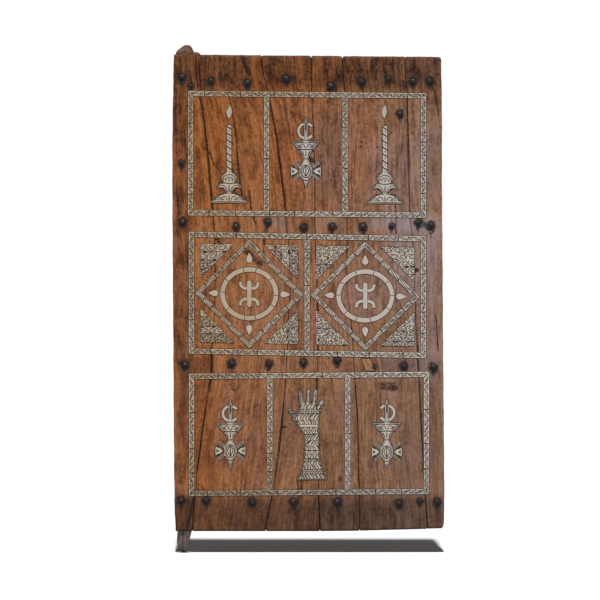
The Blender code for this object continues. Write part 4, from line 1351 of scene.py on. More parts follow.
def engrave_leaf(inlay, strip, start, end, half, hand):
    """A pointed leaf: two bowed lines, with a slit between them."""
    long = end - start
    for side in (-1, 1):
        path = [
            strip.at(start - 0.02 * long, -0.75 * hand * half),
            strip.at(start + (0.5 + 0.16 * side * hand) * long, side * half * 0.8),
            strip.at(end + 0.02 * long, 0.75 * hand * half),
        ]
        inlay.line(smooth_path(path, 6), inlay.sizes.stroke * 0.95, 0.45)
    if inlay.chance.random() < 0.5:
        slit = [strip.at(start + 0.3 * long, -0.2 * hand * half), strip.at(end - 0.3 * long, 0.2 * hand * half)]
        inlay.line(slit, inlay.sizes.stroke * 0.8, 0.8)


def engrave_curl(inlay, strip, start, end, half, hand):
    """A round curl that turns in from the leaf's tip."""
    middle = (start + end) / 2
    reach = min((end - start) / 2, half * 1.2)
    path = []
    for step in range(19):
        share = step / 18
        angle = math.pi + hand * 2 * math.pi * 1.25 * share
        radius = 1 - 0.78 * share
        along = middle + reach * radius * math.cos(angle)
        path.append(strip.at(along, half * radius * math.sin(angle)))
    inlay.line(path, inlay.sizes.stroke)


def engrave_points(inlay, strip, place, half):
    """Dark points that come in from both edges."""
    for side in (-1, 1):
        lean = inlay.chance.uniform(-0.003, 0.003)
        path = [strip.at(place, side * half * 1.3), strip.at(place + lean, side * half * 0.35)]
        inlay.line(path, 0.0050 * inlay.chance.uniform(0.5, 1.2), 0.7)


class DOOR_OT_borders(bpy.types.Operator):
    """Makes the three engraved borders with their dividers, strip by strip"""

    bl_idname = "inlaid_door.borders"
    bl_label = "Borders"

    def execute(self, context):
        sizes = context.scene.door_sizes
        for node in BORDERS:
            inlay = Inlay(f"{node}_bone", sizes)
            for band in border_bands(node):
                for outer_start, inner_start, outer_end, inner_end in split_band(inlay, band, sizes.strip_length):
                    outline = [outer_start, outer_end, inner_end, inner_start]
                    inlay.plate(grown(turned(*outline), -sizes.strip_inset))
                    engrave_border(inlay, Strip(outer_start, outer_end, inner_start, inner_end))
            inlay.make("engraved_bone", node)
        return {"FINISHED"}


def tips_of(outline):
    """The top, right, foot and left tip of an outline."""
    ways = (Vector((0, 1)), Vector((1, 0)), Vector((0, -1)), Vector((-1, 0)))
    return [max(outline, key=way.dot) for way in ways]


def engrave_lozenge(inlay, strip):
    """Engraves one strip with long slanting leaves between two plain rails."""
    count = max(1, round(strip.length / inlay.sizes.lozenge_pitch))
    pitch = strip.length / count
    half = strip.width / 2 - 0.0032
    for index in range(count):
        start = (index - 0.08) * pitch
        end = (index + 1.08) * pitch
        middle = (start + end) / 2
        for side in (-1, 1):
            bend = middle + side * 0.12 * pitch
            path = [strip.at(start, -0.55 * half), strip.at(bend, side * half * 0.9), strip.at(end, 0.55 * half)]
            inlay.line(smooth_path(path, 6), inlay.sizes.stroke * 0.9, 0.4)
        if inlay.chance.random() < 0.4:
            slit = [strip.at(middle - 0.26 * pitch, -0.24 * half), strip.at(middle + 0.26 * pitch, 0.24 * half)]
            inlay.line(slit, 0.0032, 0.8)
        engrave_points(inlay, strip, (index + 1) * pitch, half)


class DOOR_OT_lozenges(bpy.types.Operator):
    """Makes the two engraved lozenges of the middle panel"""

    bl_idname = "inlaid_door.lozenges"
    bl_label = "Lozenges"

    def execute(self, context):
        sizes = context.scene.door_sizes
        for side in SIDES:
            node = f"lozenge_{side}"
            inlay = Inlay(f"{node}_bone", sizes)
            loops = outline_loops(node)
            outer = tips_of(loops[0])
            inner = tips_of(loops[1])
            for index in range(4):
                band = (outer[index - 1], outer[index], inner[index - 1], inner[index])
                for outer_start, inner_start, outer_end, inner_end in split_band(inlay, band, sizes.strip_length):
                    outline = [outer_start, outer_end, inner_end, inner_start]
                    inlay.plate(grown(turned(*outline), -sizes.strip_inset))
                    engrave_lozenge(inlay, Strip(outer_start, outer_end, inner_start, inner_end))
            inlay.make("engraved_bone", node)
        return {"FINISHED"}


RING_PIECES = 10
RING_STEPS = 6
# How much narrower the worn ring is than its bed
RING_WEAR = 0.0012


def ring_outline(middle, reach, band, start, end):
    """One curved piece of an oval ring."""
    outer = []
    inner = []
    for step in range(RING_STEPS + 1):
        angle = start + (end - start) * step / RING_STEPS
        way = Vector((math.cos(angle), math.sin(angle)))
        outer.append(middle + Vector((way.x * reach.x, way.y * reach.y)))
        inner.append(middle + Vector((way.x * (reach.x - band), way.y * (reach.y - band))))
    return outer + inner[::-1]


class DOOR_OT_rings(bpy.types.Operator):
    """Makes the two plain oval rings from curved pieces"""

    bl_idname = "inlaid_door.rings"
    bl_label = "Rings"

    def execute(self, context):
        for side in SIDES:
            node = f"ring_{side}"
            inlay = Inlay(f"{node}_bone", context.scene.door_sizes)
            inlay.ages = (0.2, 0.6)
            loops = outline_loops(node)
            tips = tips_of(loops[0])
            inner = tips_of(loops[1])
            reach = Vector(((tips[1].x - tips[3].x) / 2, (tips[0].y - tips[2].y) / 2))
            middle = Vector(((tips[1].x + tips[3].x) / 2, (tips[0].y + tips[2].y) / 2))
            band = tips[1].x - inner[1].x - RING_WEAR
            cuts = [index + inlay.chance.uniform(-0.22, 0.22) for index in range(RING_PIECES)]
            for start, end in zip(cuts, cuts[1:] + [cuts[0] + RING_PIECES]):
                turn = 2 * math.pi / RING_PIECES
                inlay.plate(ring_outline(middle, reach, band, start * turn + 0.012, end * turn - 0.012))
            inlay.make("plain_bone", node)
        return {"FINISHED"}


# The two flames as pixels, and how much smaller the teardrops are cut than their beds
FLAMES = {
    "flame_left": (
        (230.0, 105.0), (227.9, 108.4), (226.1, 112.0), (227.2, 115.8), (228.9, 119.3), (231.0, 116.0), (232.1, 112.0),
        (231.4, 108.4),
    ),
    "flame_right": (
        (384.4, 104.8), (382.7, 108.6), (381.6, 112.4), (382.5, 115.8), (384.2, 118.8), (386.1, 115.2), (387.0, 111.0),
        (386.0, 107.6),
    ),
}
TEARDROP_INSET = -0.0014


def sign_outline(node):
    """Outline of a stemmed sign, teardrop or flame."""
    if node in FLAMES:
        return turned(*(spot(*pixel) for pixel in FLAMES[node]))
    outline = outline_loops(node)[0]
    return grown(outline, -TEARDROP_INSET) if node.startswith("teardrop_") else outline


class DOOR_OT_signs(bpy.types.Operator):
    """Makes the two stemmed signs, the teardrops and the flames in plain bone"""

    bl_idname = "inlaid_door.signs"
    bl_label = "Signs, teardrops and flames"

    def execute(self, context):
        sizes = context.scene.door_sizes
        for node in sorted(NODES):
            if node.startswith(("yaz_", "teardrop_", "flame_")):
                inlay = Inlay(f"{node}_bone", sizes)
                inlay.ages = (0.2, 0.4) if node.startswith("yaz_") else (-0.3, -0.2)
                inlay.plate(sign_outline(node))
                if node.startswith("yaz_"):
                    engrave_stem(inlay, node)
                inlay.make("plain_bone", node)
        return {"FINISHED"}


STEM_HALF = 0.0085


def engrave_stem(inlay, node):
    """Dark joints where the sign's arms meet its stem."""
    low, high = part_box(node)
    middle = (low.x + high.x) / 2
    for side in (-1, 1):
        x = middle + side * STEM_HALF
        inlay.line([Vector((x, low.z + 0.012)), Vector((x, high.z - 0.012))], 0.0011)


# Corner pieces: which way their strips run, and where the joints cut them as shares of the size
CORNER_STRIPS = {
    "corner_left_top_left": ("flat", (0.26, 0.52, 0.75)),
    "corner_left_top_right": ("upright", (0.33, 0.50, 0.73)),
    "corner_left_foot_left": ("flat", (0.27, 0.46, 0.76)),
    "corner_left_foot_right": ("upright", (0.70,)),
    "corner_right_top_left": ("flat", (0.45,)),
    "corner_right_top_right": ("flat", (0.22, 0.43)),
    "corner_right_foot_left": ("flat", (0.47,)),
    "corner_right_foot_right": ("flat", (0.14, 0.44)),
}


def strip_pieces(outline, way, shares):
    """Cuts an outline into strips across the way, as smaller outlines."""
    axis = 1 if way == "flat" else 0
    low = min(place[axis] for place in outline)
    high = max(place[axis] for place in outline)
    levels = [low, *(low + share * (high - low) for share in shares), high]
    return [clipped(clipped(outline, axis, start, 1), axis, end, -1) for start, end in zip(levels, levels[1:])]


def clipped(outline, axis, level, side):
    """The part of a convex outline on one side of a level."""
    kept = []
    for here, following in zip(outline, outline[1:] + outline[:1]):
        start = (here[axis] - level) * side
        end = (following[axis] - level) * side
        if start >= 0:
            kept.append(here)
        if start * end < 0:
            kept.append(here.lerp(following, start / (start - end)))
    return kept


VINE_ROW = 0.022


def engrave_vine(inlay, outline, way):
    """Rows of long curls that turn over and under by turns, with dark flecks between them."""
    axis = 1 if way == "flat" else 0
    low = Vector((min(place.x for place in outline), min(place.y for place in outline)))
    high = Vector((max(place.x for place in outline), max(place.y for place in outline)))
    along = Vector((1, 0)) if axis else Vector((0, 1))
    across = Vector((0, 1)) if axis else Vector((1, 0))
    tall = (high - low)[axis]
    rows = max(1, round(tall / VINE_ROW))
    step = tall / rows
    for row in range(rows):
        place = -inlay.chance.uniform(0.0, 0.6) * step
        hand = inlay.chance.choice((-1, 1))
        while place < (high - low)[1 - axis]:
            long = step * inlay.chance.uniform(1.05, 1.6)
            middle = low + across * (row + 0.5) * step + along * (place + long / 2)
            engrave_scroll(inlay, middle, along * long / 2, across * hand * step * 0.44)
            place += long
            hand = -hand


def engrave_scroll(inlay, middle, along, across):
    """One long curl: it starts at a corner, arches over and turns in, with a fleck under its end."""
    path = [middle - along * 1.05 - across * 0.95]
    for step in range(25):
        share = step / 24
        angle = math.pi * (1 - 2.7 * share)
        reach = 1 - 0.74 * share
        path.append(middle + along * reach * math.cos(angle) + across * reach * math.sin(angle))
    inlay.line(path, inlay.sizes.stroke * 1.15)
    inlay.line([middle + along * 1.0 - across * 0.9, middle + along * 0.25 - across * 0.95], 0.0048, 0.7)


class DOOR_OT_corners(bpy.types.Operator):
    """Makes the eight engraved corner pieces round the lozenges"""

    bl_idname = "inlaid_door.corners"
    bl_label = "Corner pieces"

    def execute(self, context):
        for node, (way, shares) in CORNER_STRIPS.items():
            inlay = Inlay(f"{node}_bone", context.scene.door_sizes)
            outline = outline_loops(node)[0]
            for piece in strip_pieces(outline, way, shares):
                inlay.plate(grown(piece, -inlay.sizes.strip_gap * 0.8))
                engrave_vine(inlay, piece, way)
            inlay.make("engraved_bone", node)
        return {"FINISHED"}


def pen(inlay, column, line):
    """A way to engrave by pixels counted from one pixel of the photograph."""
    def draw(*path, width=None, swell=0.0, curve=True):
        places = [spot(column + across, line + down) for across, down in path]
        inlay.line(smooth_path(places, 5) if curve and len(places) > 2 else places, width, swell)
    return draw


FIGURE_MARGIN = 0.0032
# Middle column of each candlestick and the line of its foot
CANDLES = {"left": (229.1, 203.0), "right": (385.0, 203.8)}
# Right half of a candlestick in pixels from its foot's middle: candle, drip pan, leaf arms, stem and foot
STICK_HALF = (
    (2.25, -77.8), (2.25, -30.4), (4.4, -29.8), (6.4, -28.4), (7.8, -26.0), (7.7, -23.6), (6.5, -21.8), (5.4, -20.3),
    (6.6, -19.2), (8.8, -19.4), (10.8, -18.2), (12.0, -16.2), (12.4, -14.4), (10.8, -15.2), (8.8, -15.7), (6.6, -15.2),
    (4.6, -13.6), (3.2, -11.6), (2.3, -9.9), (2.2, -9.2), (5.4, -9.0), (8.4, -8.3), (10.8, -7.2), (13.0, -5.4),
    (15.0, -3.6), (17.2, -1.9), (17.6, -0.5),
)
CANDLE_TWIST = 6.7
CANDLE_TURNS = 7


def stick_outline(side):
    """Outline of one candlestick."""
    column, line = CANDLES[side]
    right = [spot(column + across, line + down) for across, down in STICK_HALF]
    left = [spot(column - across, line + down) for across, down in STICK_HALF]
    return turned(*right, *left[::-1])


def engrave_candlestick(inlay, side):
    """Twisted candle, scrolls in the drip pan, lined leaf arms and a scrolled foot."""
    column, line = CANDLES[side]
    draw = pen(inlay, column, line)
    for index in range(CANDLE_TURNS):
        down = -75.6 + index * CANDLE_TWIST
        draw((-2.4, down - 1.8), (-0.8, down), (0.8, down + 0.8), (2.4, down + 2.4), width=0.0046, swell=0.3)
        draw((-0.4, down + 2.6), (0.8, down + 4.2), width=0.0030, swell=0.6)
    draw((-6.0, -22.6), (-5.2, -26.4), (0, -28.4), (5.2, -26.4), (6.0, -22.6), width=0.0032)
    draw((-3.4, -21.8), (-2.8, -24.4), (0, -25.8), (2.8, -24.4), (3.4, -21.8), width=0.0030)
    draw((0, -24.4), (0, -21.4), width=0.0044, swell=0.6)
    draw((-5.6, -20.2), (0, -19.4), (5.6, -20.2), width=0.0036)
    draw((0, -18.0), (0, -9.6), width=0.0042, swell=0.6)
    draw((-16.0, -1.6), (0, -1.3), (16.0, -1.6), width=0.0026)
    draw((0, -7.8), (0, -2.0), width=0.0040, swell=0.5)
    for hand in (-1, 1):
        inner = [(hand * (across - 0.7), down) for across, down in STICK_HALF[2:]]
        draw(*inner, width=0.0022, curve=False)
        draw((hand * 4.4, -23.2), (hand * 4.0, -25.0), width=0.0034, swell=0.6)
        draw((hand * 1.2, -11.0), (hand * 2.6, -14.6), (hand * 5.6, -17.4), (hand * 8.8, -17.6), (hand * 11.4, -15.4),
             width=0.0028)
        draw((hand * 1.6, -2.6), (hand * 3.6, -6.4), (hand * 6.8, -5.6), (hand * 6.6, -3.2), (hand * 5.0, -3.6),
             width=0.0030)
        draw((hand * 7.4, -2.4), (hand * 9.4, -6.0), (hand * 12.2, -3.0), width=0.0030)
        draw((hand * 9.2, -3.8), (hand * 10.2, -2.6), width=0.0036, swell=0.6)
        draw((hand * 12.6, -4.2), (hand * 14.6, -2.6), width=0.0030, swell=0.5)


class DOOR_OT_candlesticks(bpy.types.Operator):
    """Makes the two engraved candlesticks of the upper panel"""

    bl_idname = "inlaid_door.candlesticks"
    bl_label = "Candlesticks"

    def execute(self, context):
        for side in SIDES:
            node = f"candlestick_{side}"
            inlay = Inlay(f"{node}_bone", context.scene.door_sizes)
            inlay.ages = (-0.3, -0.2)
            outline = stick_outline(side)
            inlay.plate(outline, FIGURE_MARGIN)
            engrave_candlestick(inlay, side)
            inlay.make("engraved_bone", node)
        return {"FINISHED"}


# Fibulas: middle column, lines of the pin's top, crescent, cup, waist, egg and tail, and the crescent's open side
FIBULAS = {
    "upper": (305.9, 117.6, 131.0, 141.7, 158.6, 171.2, 187.2, 1),
    "left": (230.4, 400.5, 413.6, 423.8, 439.6, 450.8, 469.0, 1),
    "right": (386.8, 399.8, 412.9, 423.2, 439.6, 452.0, 467.7, -1),
}
FIBULA_BARS = (
    ((-11.8, -8.8), (-5.6, -3.6)), ((-11.6, 8.4), (-5.8, 3.4)), ((7.0, -3.8), (13.2, -8.8)), ((7.0, 3.6), (12.8, 8.6)),
)
BAR_HALF = 0.0042
WING = ((7.4, 0.0), (14.4, -6.0), (15.2, 0.0), (14.4, 6.0))
CRESCENT_RADIUS = 7.5
CRESCENT_BAND = 2.4
# The crescent's pieces as angles in degrees from its open side
CRESCENT_PIECES = ((36, 73), (106, 254), (287, 324))


def bar_outline(start, end, half):
    """A straight bar with square ends."""
    aside = (end - start).normalized() * half
    aside = Vector((-aside.y, aside.x))
    return turned(start - aside, end - aside, end + aside, start + aside)


def turned(*outline):
    """The outline, anticlockwise."""
    places = list(outline)
    return places if area(places) > 0 else places[::-1]


def fibula_body(name):
    """Outline of the pin, cup, egg and tail."""
    column, top, _, cup, waist, egg, tail, _ = FIBULAS[name]
    half = [
        (0.2, top), (1.2, top + 3), (1.8, top + 7), (1.6, cup - 6), (2.2, cup - 3), (3.4, cup), (13.9, cup - 0.1),
        (7.3, cup + 8.0), (6.2, cup + 8.6), (2.2, waist - 0.8), (2.1, waist + 0.6), (4.4, egg - 6.4), (6.2, egg - 2.6),
        (6.4, egg + 1.0), (5.4, egg + 4.8), (2.6, egg + 8.4), (1.4, egg + 9.4), (2.2, egg + 10.6), (2.1, egg + 11.8),
        (1.1, egg + 12.8), (0.9, tail - 2), (0.2, tail),
    ]
    right = [spot(column + across, line) for across, line in half]
    left = [spot(column - across, line) for across, line in half]
    return turned(*right, *left[::-1])


def crescent_outline(name, start, end):
    """One curved piece of the open ring round the pin."""
    column, _, line, _, _, _, _, opening = FIBULAS[name]
    reach = Vector((1, 1)) * (CRESCENT_RADIUS + CRESCENT_BAND / 2) * PIXEL
    first, last = math.radians(start), math.radians(end)
    if opening < 0:
        first, last = math.pi - last, math.pi - first
    return ring_outline(spot(column, line), reach, CRESCENT_BAND * PIXEL, first, last)


def engrave_fibula(inlay, name):
    """Hatched cup with two scrolls, lined funnel, and a rimmed egg with a leaf."""
    column, top, _, cup, waist, egg, tail, _ = FIBULAS[name]
    draw = pen(inlay, column, cup)
    draw((0, top - cup + 4), (0, top - cup + 14), width=0.0044, swell=0.8)
    draw((-2.6, -2.4), (0, -1.2), (2.6, -2.4), width=0.0030)
    draw((-11.6, 1.1), (11.6, 1.1), width=0.0024)
    draw((-7.2, 7.9), (7.2, 7.9), width=0.0042)
    for hand in (-1, 1):
        draw((hand * 9.4, 1.2), (hand * 5.4, 7.4), width=0.0022)
        for share in (0.1, 0.32, 0.54, 0.76):
            across = 12.6 - 5.6 * share
            down = 1.0 + 6.6 * share
            draw((hand * across, down + 0.6), (hand * (across - 2.4), down - 0.2), width=0.0024)
        draw((hand * 0.6, 6.4), (hand * 2.6, 2.6), (hand * 5.4, 3.4), (hand * 4.6, 5.8), (hand * 3.2, 5.0),
             width=0.0030)
        draw((hand * 7.0, 2.6), (hand * 5.8, 5.6), width=0.0032, swell=0.6)
        draw((hand * 3.8, 9.6), (hand * 2.0, waist - cup - 2.6), width=0.0036)
    draw((0, 9.2), (0, waist - cup - 2.0), width=0.0036)
    draw((-2.8, waist - cup + 0.2), (2.8, waist - cup + 0.2), width=0.0034)
    inlay.ring(spot(column, egg + 0.2), 0.0166, 0.0236, 0.0036)
    leaf = pen(inlay, column, egg)
    leaf((0, -4.4), (0, 5.0), width=0.0040, swell=0.6)
    for hand in (-1, 1):
        leaf((0, -5.4), (hand * 2.8, -0.6), (0, 5.4), width=0.0034)
    draw((-2.8, egg - cup + 9.6), (2.8, egg - cup + 9.6), width=0.0022)


def engrave_wing(inlay, column, egg, hand):
    """A dark fan that leaves a pale angle pointing at the egg."""
    draw = pen(inlay, column, egg)
    draw((hand * 8.2, -1.3), (hand * 14.2, -4.9), width=0.0052)
    draw((hand * 8.2, 1.3), (hand * 14.2, 4.9), width=0.0052)
    draw((hand * 11.6, 0), (hand * 15.0, -1.5), width=0.0042, swell=0.4)
    draw((hand * 11.6, 0), (hand * 15.0, 1.5), width=0.0042, swell=0.4)


class DOOR_OT_fibulas(bpy.types.Operator):
    """Makes the three cloak pins with their crescents, wings and side bars"""

    bl_idname = "inlaid_door.fibulas"
    bl_label = "Fibulas"

    def execute(self, context):
        for name, (column, _, _, _, _, egg, _, _) in FIBULAS.items():
            node = f"fibula_{name}"
            inlay = Inlay(f"{node}_bone", context.scene.door_sizes)
            inlay.ages = (-0.9, -0.7) if name == "upper" else (-0.5, -0.3)
            for start, end in FIBULA_BARS:
                ends = [spot(column + across, egg + down) for across, down in (start, end)]
                inlay.plate(bar_outline(*ends, BAR_HALF))
                inlay.line(ends, 0.0044)
            for start, end in CRESCENT_PIECES:
                inlay.plate(crescent_outline(name, start, end))
            for hand in (-1, 1):
                wing = turned(*(spot(column + hand * across, egg + down) for across, down in WING))
                inlay.plate(wing, FIGURE_MARGIN)
                engrave_wing(inlay, column, egg, hand)
            outline = fibula_body(name)
            inlay.plate(outline, FIGURE_MARGIN)
            inlay.contour(outline, 0.0030, 0.0018)
            engrave_fibula(inlay, name)
            inlay.make("engraved_bone", node)
        return {"FINISHED"}


# How far the hand stands from the frame's, in pixels, and the span of columns that its rows cover
HAND_SHIFT = 0.6
HAND_COLUMNS = (284.0, 332.0)
SLANT_STROKE = 0.0031
# Dark lines across the hand with their widths in metres
HAND_LINES = (
    (404.8, 0.0018), (409.0, 0.0022), (413.8, 0.0032), (424.2, 0.0024), (427.4, 0.0022), (434.2, 0.0036),
    (440.4, 0.0018), (450.4, 0.0032), (458.7, 0.0036), (469.2, 0.0026), (474.0, 0.0024),
)
FINGER_LINES = (
    ((289.0, 410.0), (294, 418), (299, 425)), ((300.2, 394), (301.6, 400), (302.4, 404)),
    ((309.0, 392), (309.2, 398), (309.2, 404)), ((315.8, 393), (315.4, 398), (315.0, 404)),
    ((322.2, 404), (320.6, 407), (319.2, 410)),
)


def engrave_hand(inlay):
    """Bracelets of wheat, ropes and eyes, and fingers with joints."""
    for line, width in HAND_LINES:
        inlay.line([spot(HAND_COLUMNS[0], line), spot(HAND_COLUMNS[1], line)], width)
    slants(inlay, 405.2, 408.6, 3.2, 1)
    eyes(inlay, 409.0, 413.8, 5.2)
    wheat(inlay, 414.2, 423.8, 2.7)
    eyes(inlay, 427.4, 434.2, 5.4)
    slants(inlay, 434.6, 440.2, 2.6, 1)
    wheat(inlay, 440.6, 450.0, 2.7)
    eyes(inlay, 450.6, 458.6, 5.6)
    wheat(inlay, 459.2, 468.8, 2.7)
    eyes(inlay, 469.2, 474.0, 5.0)
    slants(inlay, 474.4, 478.6, 2.9, -1)
    for path in FINGER_LINES:
        places = smooth_path([spot(*pixel) for pixel in path], 4)
        inlay.line(places, 0.0026, 0.5)
        for start, end in zip(path, path[1:]):
            middle = (spot(*start) + spot(*end)) / 2
            inlay.line([middle - Vector((0.008, 0.002)), middle + Vector((0.008, 0.002))], 0.0019)


def slants(inlay, upper, lower, step, hand):
    """A rope of bowed strokes between two lines of the hand, rising to the right or to the left."""
    lean = hand * (lower - upper) * 0.7
    for index in range(int((HAND_COLUMNS[1] - HAND_COLUMNS[0]) / step)):
        column = HAND_COLUMNS[0] + index * step + inlay.chance.uniform(-0.6, 0.6)
        width = SLANT_STROKE * inlay.chance.uniform(0.8, 1.7)
        bow = spot(column + lean * inlay.chance.uniform(0.0, 0.5), (upper + lower) / 2)
        inlay.line(smooth_path([spot(column, lower), bow, spot(column + lean, upper)], 4), width, 0.4)


def wheat(inlay, upper, lower, step):
    """Two ropes that lean against each other."""
    middle = (upper + lower) / 2
    slants(inlay, upper, middle, step, 1)
    slants(inlay, middle, lower, step, -1)


def eyes(inlay, upper, lower, step):
    """A row of pointed ovals, each with a dark fleck in its middle."""
    middle = (upper + lower) / 2
    for index in range(int((HAND_COLUMNS[1] - HAND_COLUMNS[0]) / step)):
        column = HAND_COLUMNS[0] + (index + 0.5) * step
        for line in (upper, lower):
            path = [spot(column - step * 0.4, middle), spot(column, line), spot(column + step * 0.4, middle)]
            inlay.line(smooth_path(path, 5), 0.0032)
        inlay.line([spot(column - 0.8, middle), spot(column + 0.8, middle)], 0.0046, 0.6)


class DOOR_OT_hand(bpy.types.Operator):
    """Makes the open hand on its cuffed forearm"""

    bl_idname = "inlaid_door.hand"
    bl_label = "Hand"

    def execute(self, context):
        inlay = Inlay("hand_bone", context.scene.door_sizes)
        inlay.ages = (-0.1, 0.0)
        outline = [place + Vector((HAND_SHIFT * PIXEL, 0.0)) for place in outline_loops("hand")[0]]
        inlay.plate(outline, FIGURE_MARGIN)
        inlay.contour(outline, 0.0024, 0.0020)
        engrave_hand(inlay)
        inlay.make("engraved_bone", "hand")
        return {"FINISHED"}


PATCH_JOINT = 0.0015
# Dark lines of the repair's own grain, as pixels
PATCH_GRAIN = (((364.6, 357.5), (368.0, 366.5)), ((368.0, 362.0), (371.6, 373.0)))


class DOOR_OT_patch(bpy.types.Operator):
    """Makes the pale repair let into the wood"""

    bl_idname = "inlaid_door.patch"
    bl_label = "Repair patch"

    def execute(self, context):
        inlay = Inlay("repair_wood", context.scene.door_sizes)
        inlay.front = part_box("repair_patch")[0].y
        outline = outline_loops("repair_patch")[0]
        inlay.plate(outline, PATCH_JOINT)
        for start, end in PATCH_GRAIN:
            inlay.line([spot(*start), spot(*end)], PATCH_JOINT, 0.8)
        inlay.make("repair_wood", "repair_patch", finish="repair_wood", build=repair_finish)
        return {"FINISHED"}


NAIL_SHANK = 0.0035
FLAT_HEAD = 0.0040
CLENCH_LENGTH = 0.022


def forge_nail(name, radius, height, clenched):
    """One nail at the origin: a hammered dome, its shank, and a tip bent over if it is clenched."""
    deselect()
    bpy.ops.mesh.primitive_ico_sphere_add(subdivisions=2, radius=1)
    nail = bpy.context.object
    nail.name = name
    bpy.ops.object.mode_set(mode="EDIT")
    bpy.ops.mesh.select_all(action="SELECT")
    bpy.ops.mesh.bisect(plane_co=(0, 0.12, 0), plane_no=(0, 1, 0), use_fill=True, clear_outer=True)
    bpy.ops.mesh.select_all(action="SELECT")
    bpy.ops.transform.resize(value=(radius, height, radius), center_override=(0, 0, 0))
    bpy.ops.transform.translate(value=(0, WOOD_FRONT, 0))
    select_faces(nail, lambda face: face.normal.y > 0.95 and face.calc_center_median().y > WOOD_FRONT)
    bpy.ops.mesh.inset(thickness=radius - NAIL_SHANK)
    through = BATTEN_BACK - WOOD_FRONT if clenched else 0.02
    bpy.ops.mesh.extrude_region_move(TRANSFORM_OT_translate={"value": (0, through, 0)})
    if clenched:
        bpy.ops.mesh.extrude_region_move(TRANSFORM_OT_translate={"value": (0, 0.0022, -0.003)})
        bpy.ops.mesh.extrude_region_move(TRANSFORM_OT_translate={"value": (0, -0.001, -CLENCH_LENGTH)})
        tip = (0, BATTEN_BACK + 0.001, -CLENCH_LENGTH)
        bpy.ops.transform.resize(value=(0.4, 0.3, 0.4), center_override=tip)
    bpy.ops.mesh.select_all(action="SELECT")
    bpy.ops.mesh.normals_make_consistent(inside=False)
    bpy.ops.object.mode_set(mode="OBJECT")
    return nail


def place_nail(pattern, name, place, size, chance):
    """A copy of the nail, turned and dented, at its place on the front."""
    nail = bpy.data.objects.new(name, pattern.data.copy())
    bpy.context.scene.collection.objects.link(nail)
    spin = chance.uniform(-0.5, 0.5)
    wide = size * chance.uniform(0.92, 1.06)
    tall = size * chance.uniform(0.86, 1.04)
    turn = Matrix.Rotation(spin, 4, "Y")
    for vert in nail.data.vertices:
        if vert.co.y < WOOD_FRONT + 0.0004:
            dent = noise.noise(vert.co * 130 + Vector((place.x, size, place.y)) * 37)
            vert.co.x *= wide * (1 + dent * 0.36)
            vert.co.z *= tall * (1 - dent * 0.36)
            vert.co.y = max(vert.co.y, WOOD_FRONT - FLAT_HEAD * (1 + dent * 0.5))
    nail.data.transform(Matrix.Translation((place.x, 0, place.y)) @ turn)
    coat(nail, "forged_iron", iron_finish)
    return nail


class DOOR_OT_nails(bpy.types.Operator):
    """Makes the forged nails: those of the frame, the rest of the rows and the single ones"""

    bl_idname = "inlaid_door.nails"
    bl_label = "Nails"

    def execute(self, context):
        sizes = context.scene.door_sizes
        chance = random.Random(11)
        long_nail = forge_nail("long_nail", sizes.nail_radius, sizes.nail_height, True)
        short_nail = forge_nail("short_nail", sizes.nail_radius, sizes.nail_height, False)
        for node in nail_nodes():
            nail = place_nail(long_nail, f"{node}_iron", nail_place(node), 1.0, chance)
            settle(nail, "leaf", "forged_iron", node)
        for row, places in EXTRA_NAILS.items():
            pattern = short_nail if row == SHORT_NAILS else long_nail
            made = []
            for index, (column, line, size) in enumerate(places):
                made.append(place_nail(pattern, f"nails_{row}_{index}", spot(column, line), size, chance))
            choose(*made)
            bpy.ops.object.join()
            made[0].name = f"nails_{row}"
            settle(made[0], "leaf", "forged_iron")
        for pattern in (long_nail, short_nail):
            bpy.data.objects.remove(pattern)
        return {"FINISHED"}


FLOOR_REACH = 15.0
FLOOR_CORNERS = 64
SOCKET_LAP = 0.002
FLOOR_DROP = 0.0002
CAMERA_LENS = 200.0
CAMERA_SENSOR = 36.0
SKY_LIGHT = 0.12
# The key lamp is far away, narrow across and long towards the door, so that its shadow keeps straight ends
KEY_LIGHT = 6.9
KEY_TILT = math.radians(20)
KEY_FAR = 400.0
KEY_ACROSS = 7.0
KEY_ALONG = 34.0
BACK_LIGHT = 1.0
BACK_TILT = math.radians(-84)
BACK_SOFTNESS = math.radians(40)


def make_floor():
    """A wide floor with a round hole over the socket's cup."""
    low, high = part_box("foot_socket")
    hole = (high.x - low.x) / 2 - SOCKET_LAP
    middle = ((low.x + high.x) / 2, (low.y + high.y) / 2, SOCKET_TOP - FLOOR_DROP)
    deselect()
    bpy.ops.mesh.primitive_circle_add(vertices=FLOOR_CORNERS, radius=hole, location=middle)
    floor = bpy.context.object
    floor.name = "floor"
    bpy.ops.object.transform_apply(location=True)
    bpy.ops.object.mode_set(mode="EDIT")
    bpy.ops.mesh.select_all(action="SELECT")
    bpy.ops.mesh.extrude_edges_move()
    share = FLOOR_REACH / hole
    bpy.ops.transform.resize(value=(share, share, 1.0), center_override=middle)
    bpy.ops.object.mode_set(mode="OBJECT")
    coat(floor, "pale_floor", floor_finish)


def add_sun(name, strength, tilt, softness):
    deselect()
    bpy.ops.object.light_add(type="SUN", rotation=(tilt, 0.0, 0.0))
    lamp = bpy.context.object
    lamp.name = name
    lamp.data.energy = strength
    lamp.data.angle = softness


def add_key():
    """A far lamp over the front, as strong on the door as its value in watts to the square metre."""
    deselect()
    place = (0.0, -math.sin(KEY_TILT) * KEY_FAR, math.cos(KEY_TILT) * KEY_FAR)
    bpy.ops.object.light_add(type="AREA", location=place, rotation=(KEY_TILT, 0.0, 0.0))
    lamp = bpy.context.object
    lamp.name = "key_light"
    lamp.data.shape = "RECTANGLE"
    lamp.data.size = KEY_ACROSS
    lamp.data.size_y = KEY_ALONG
    lamp.data.energy = KEY_LIGHT * math.pi * KEY_FAR ** 2


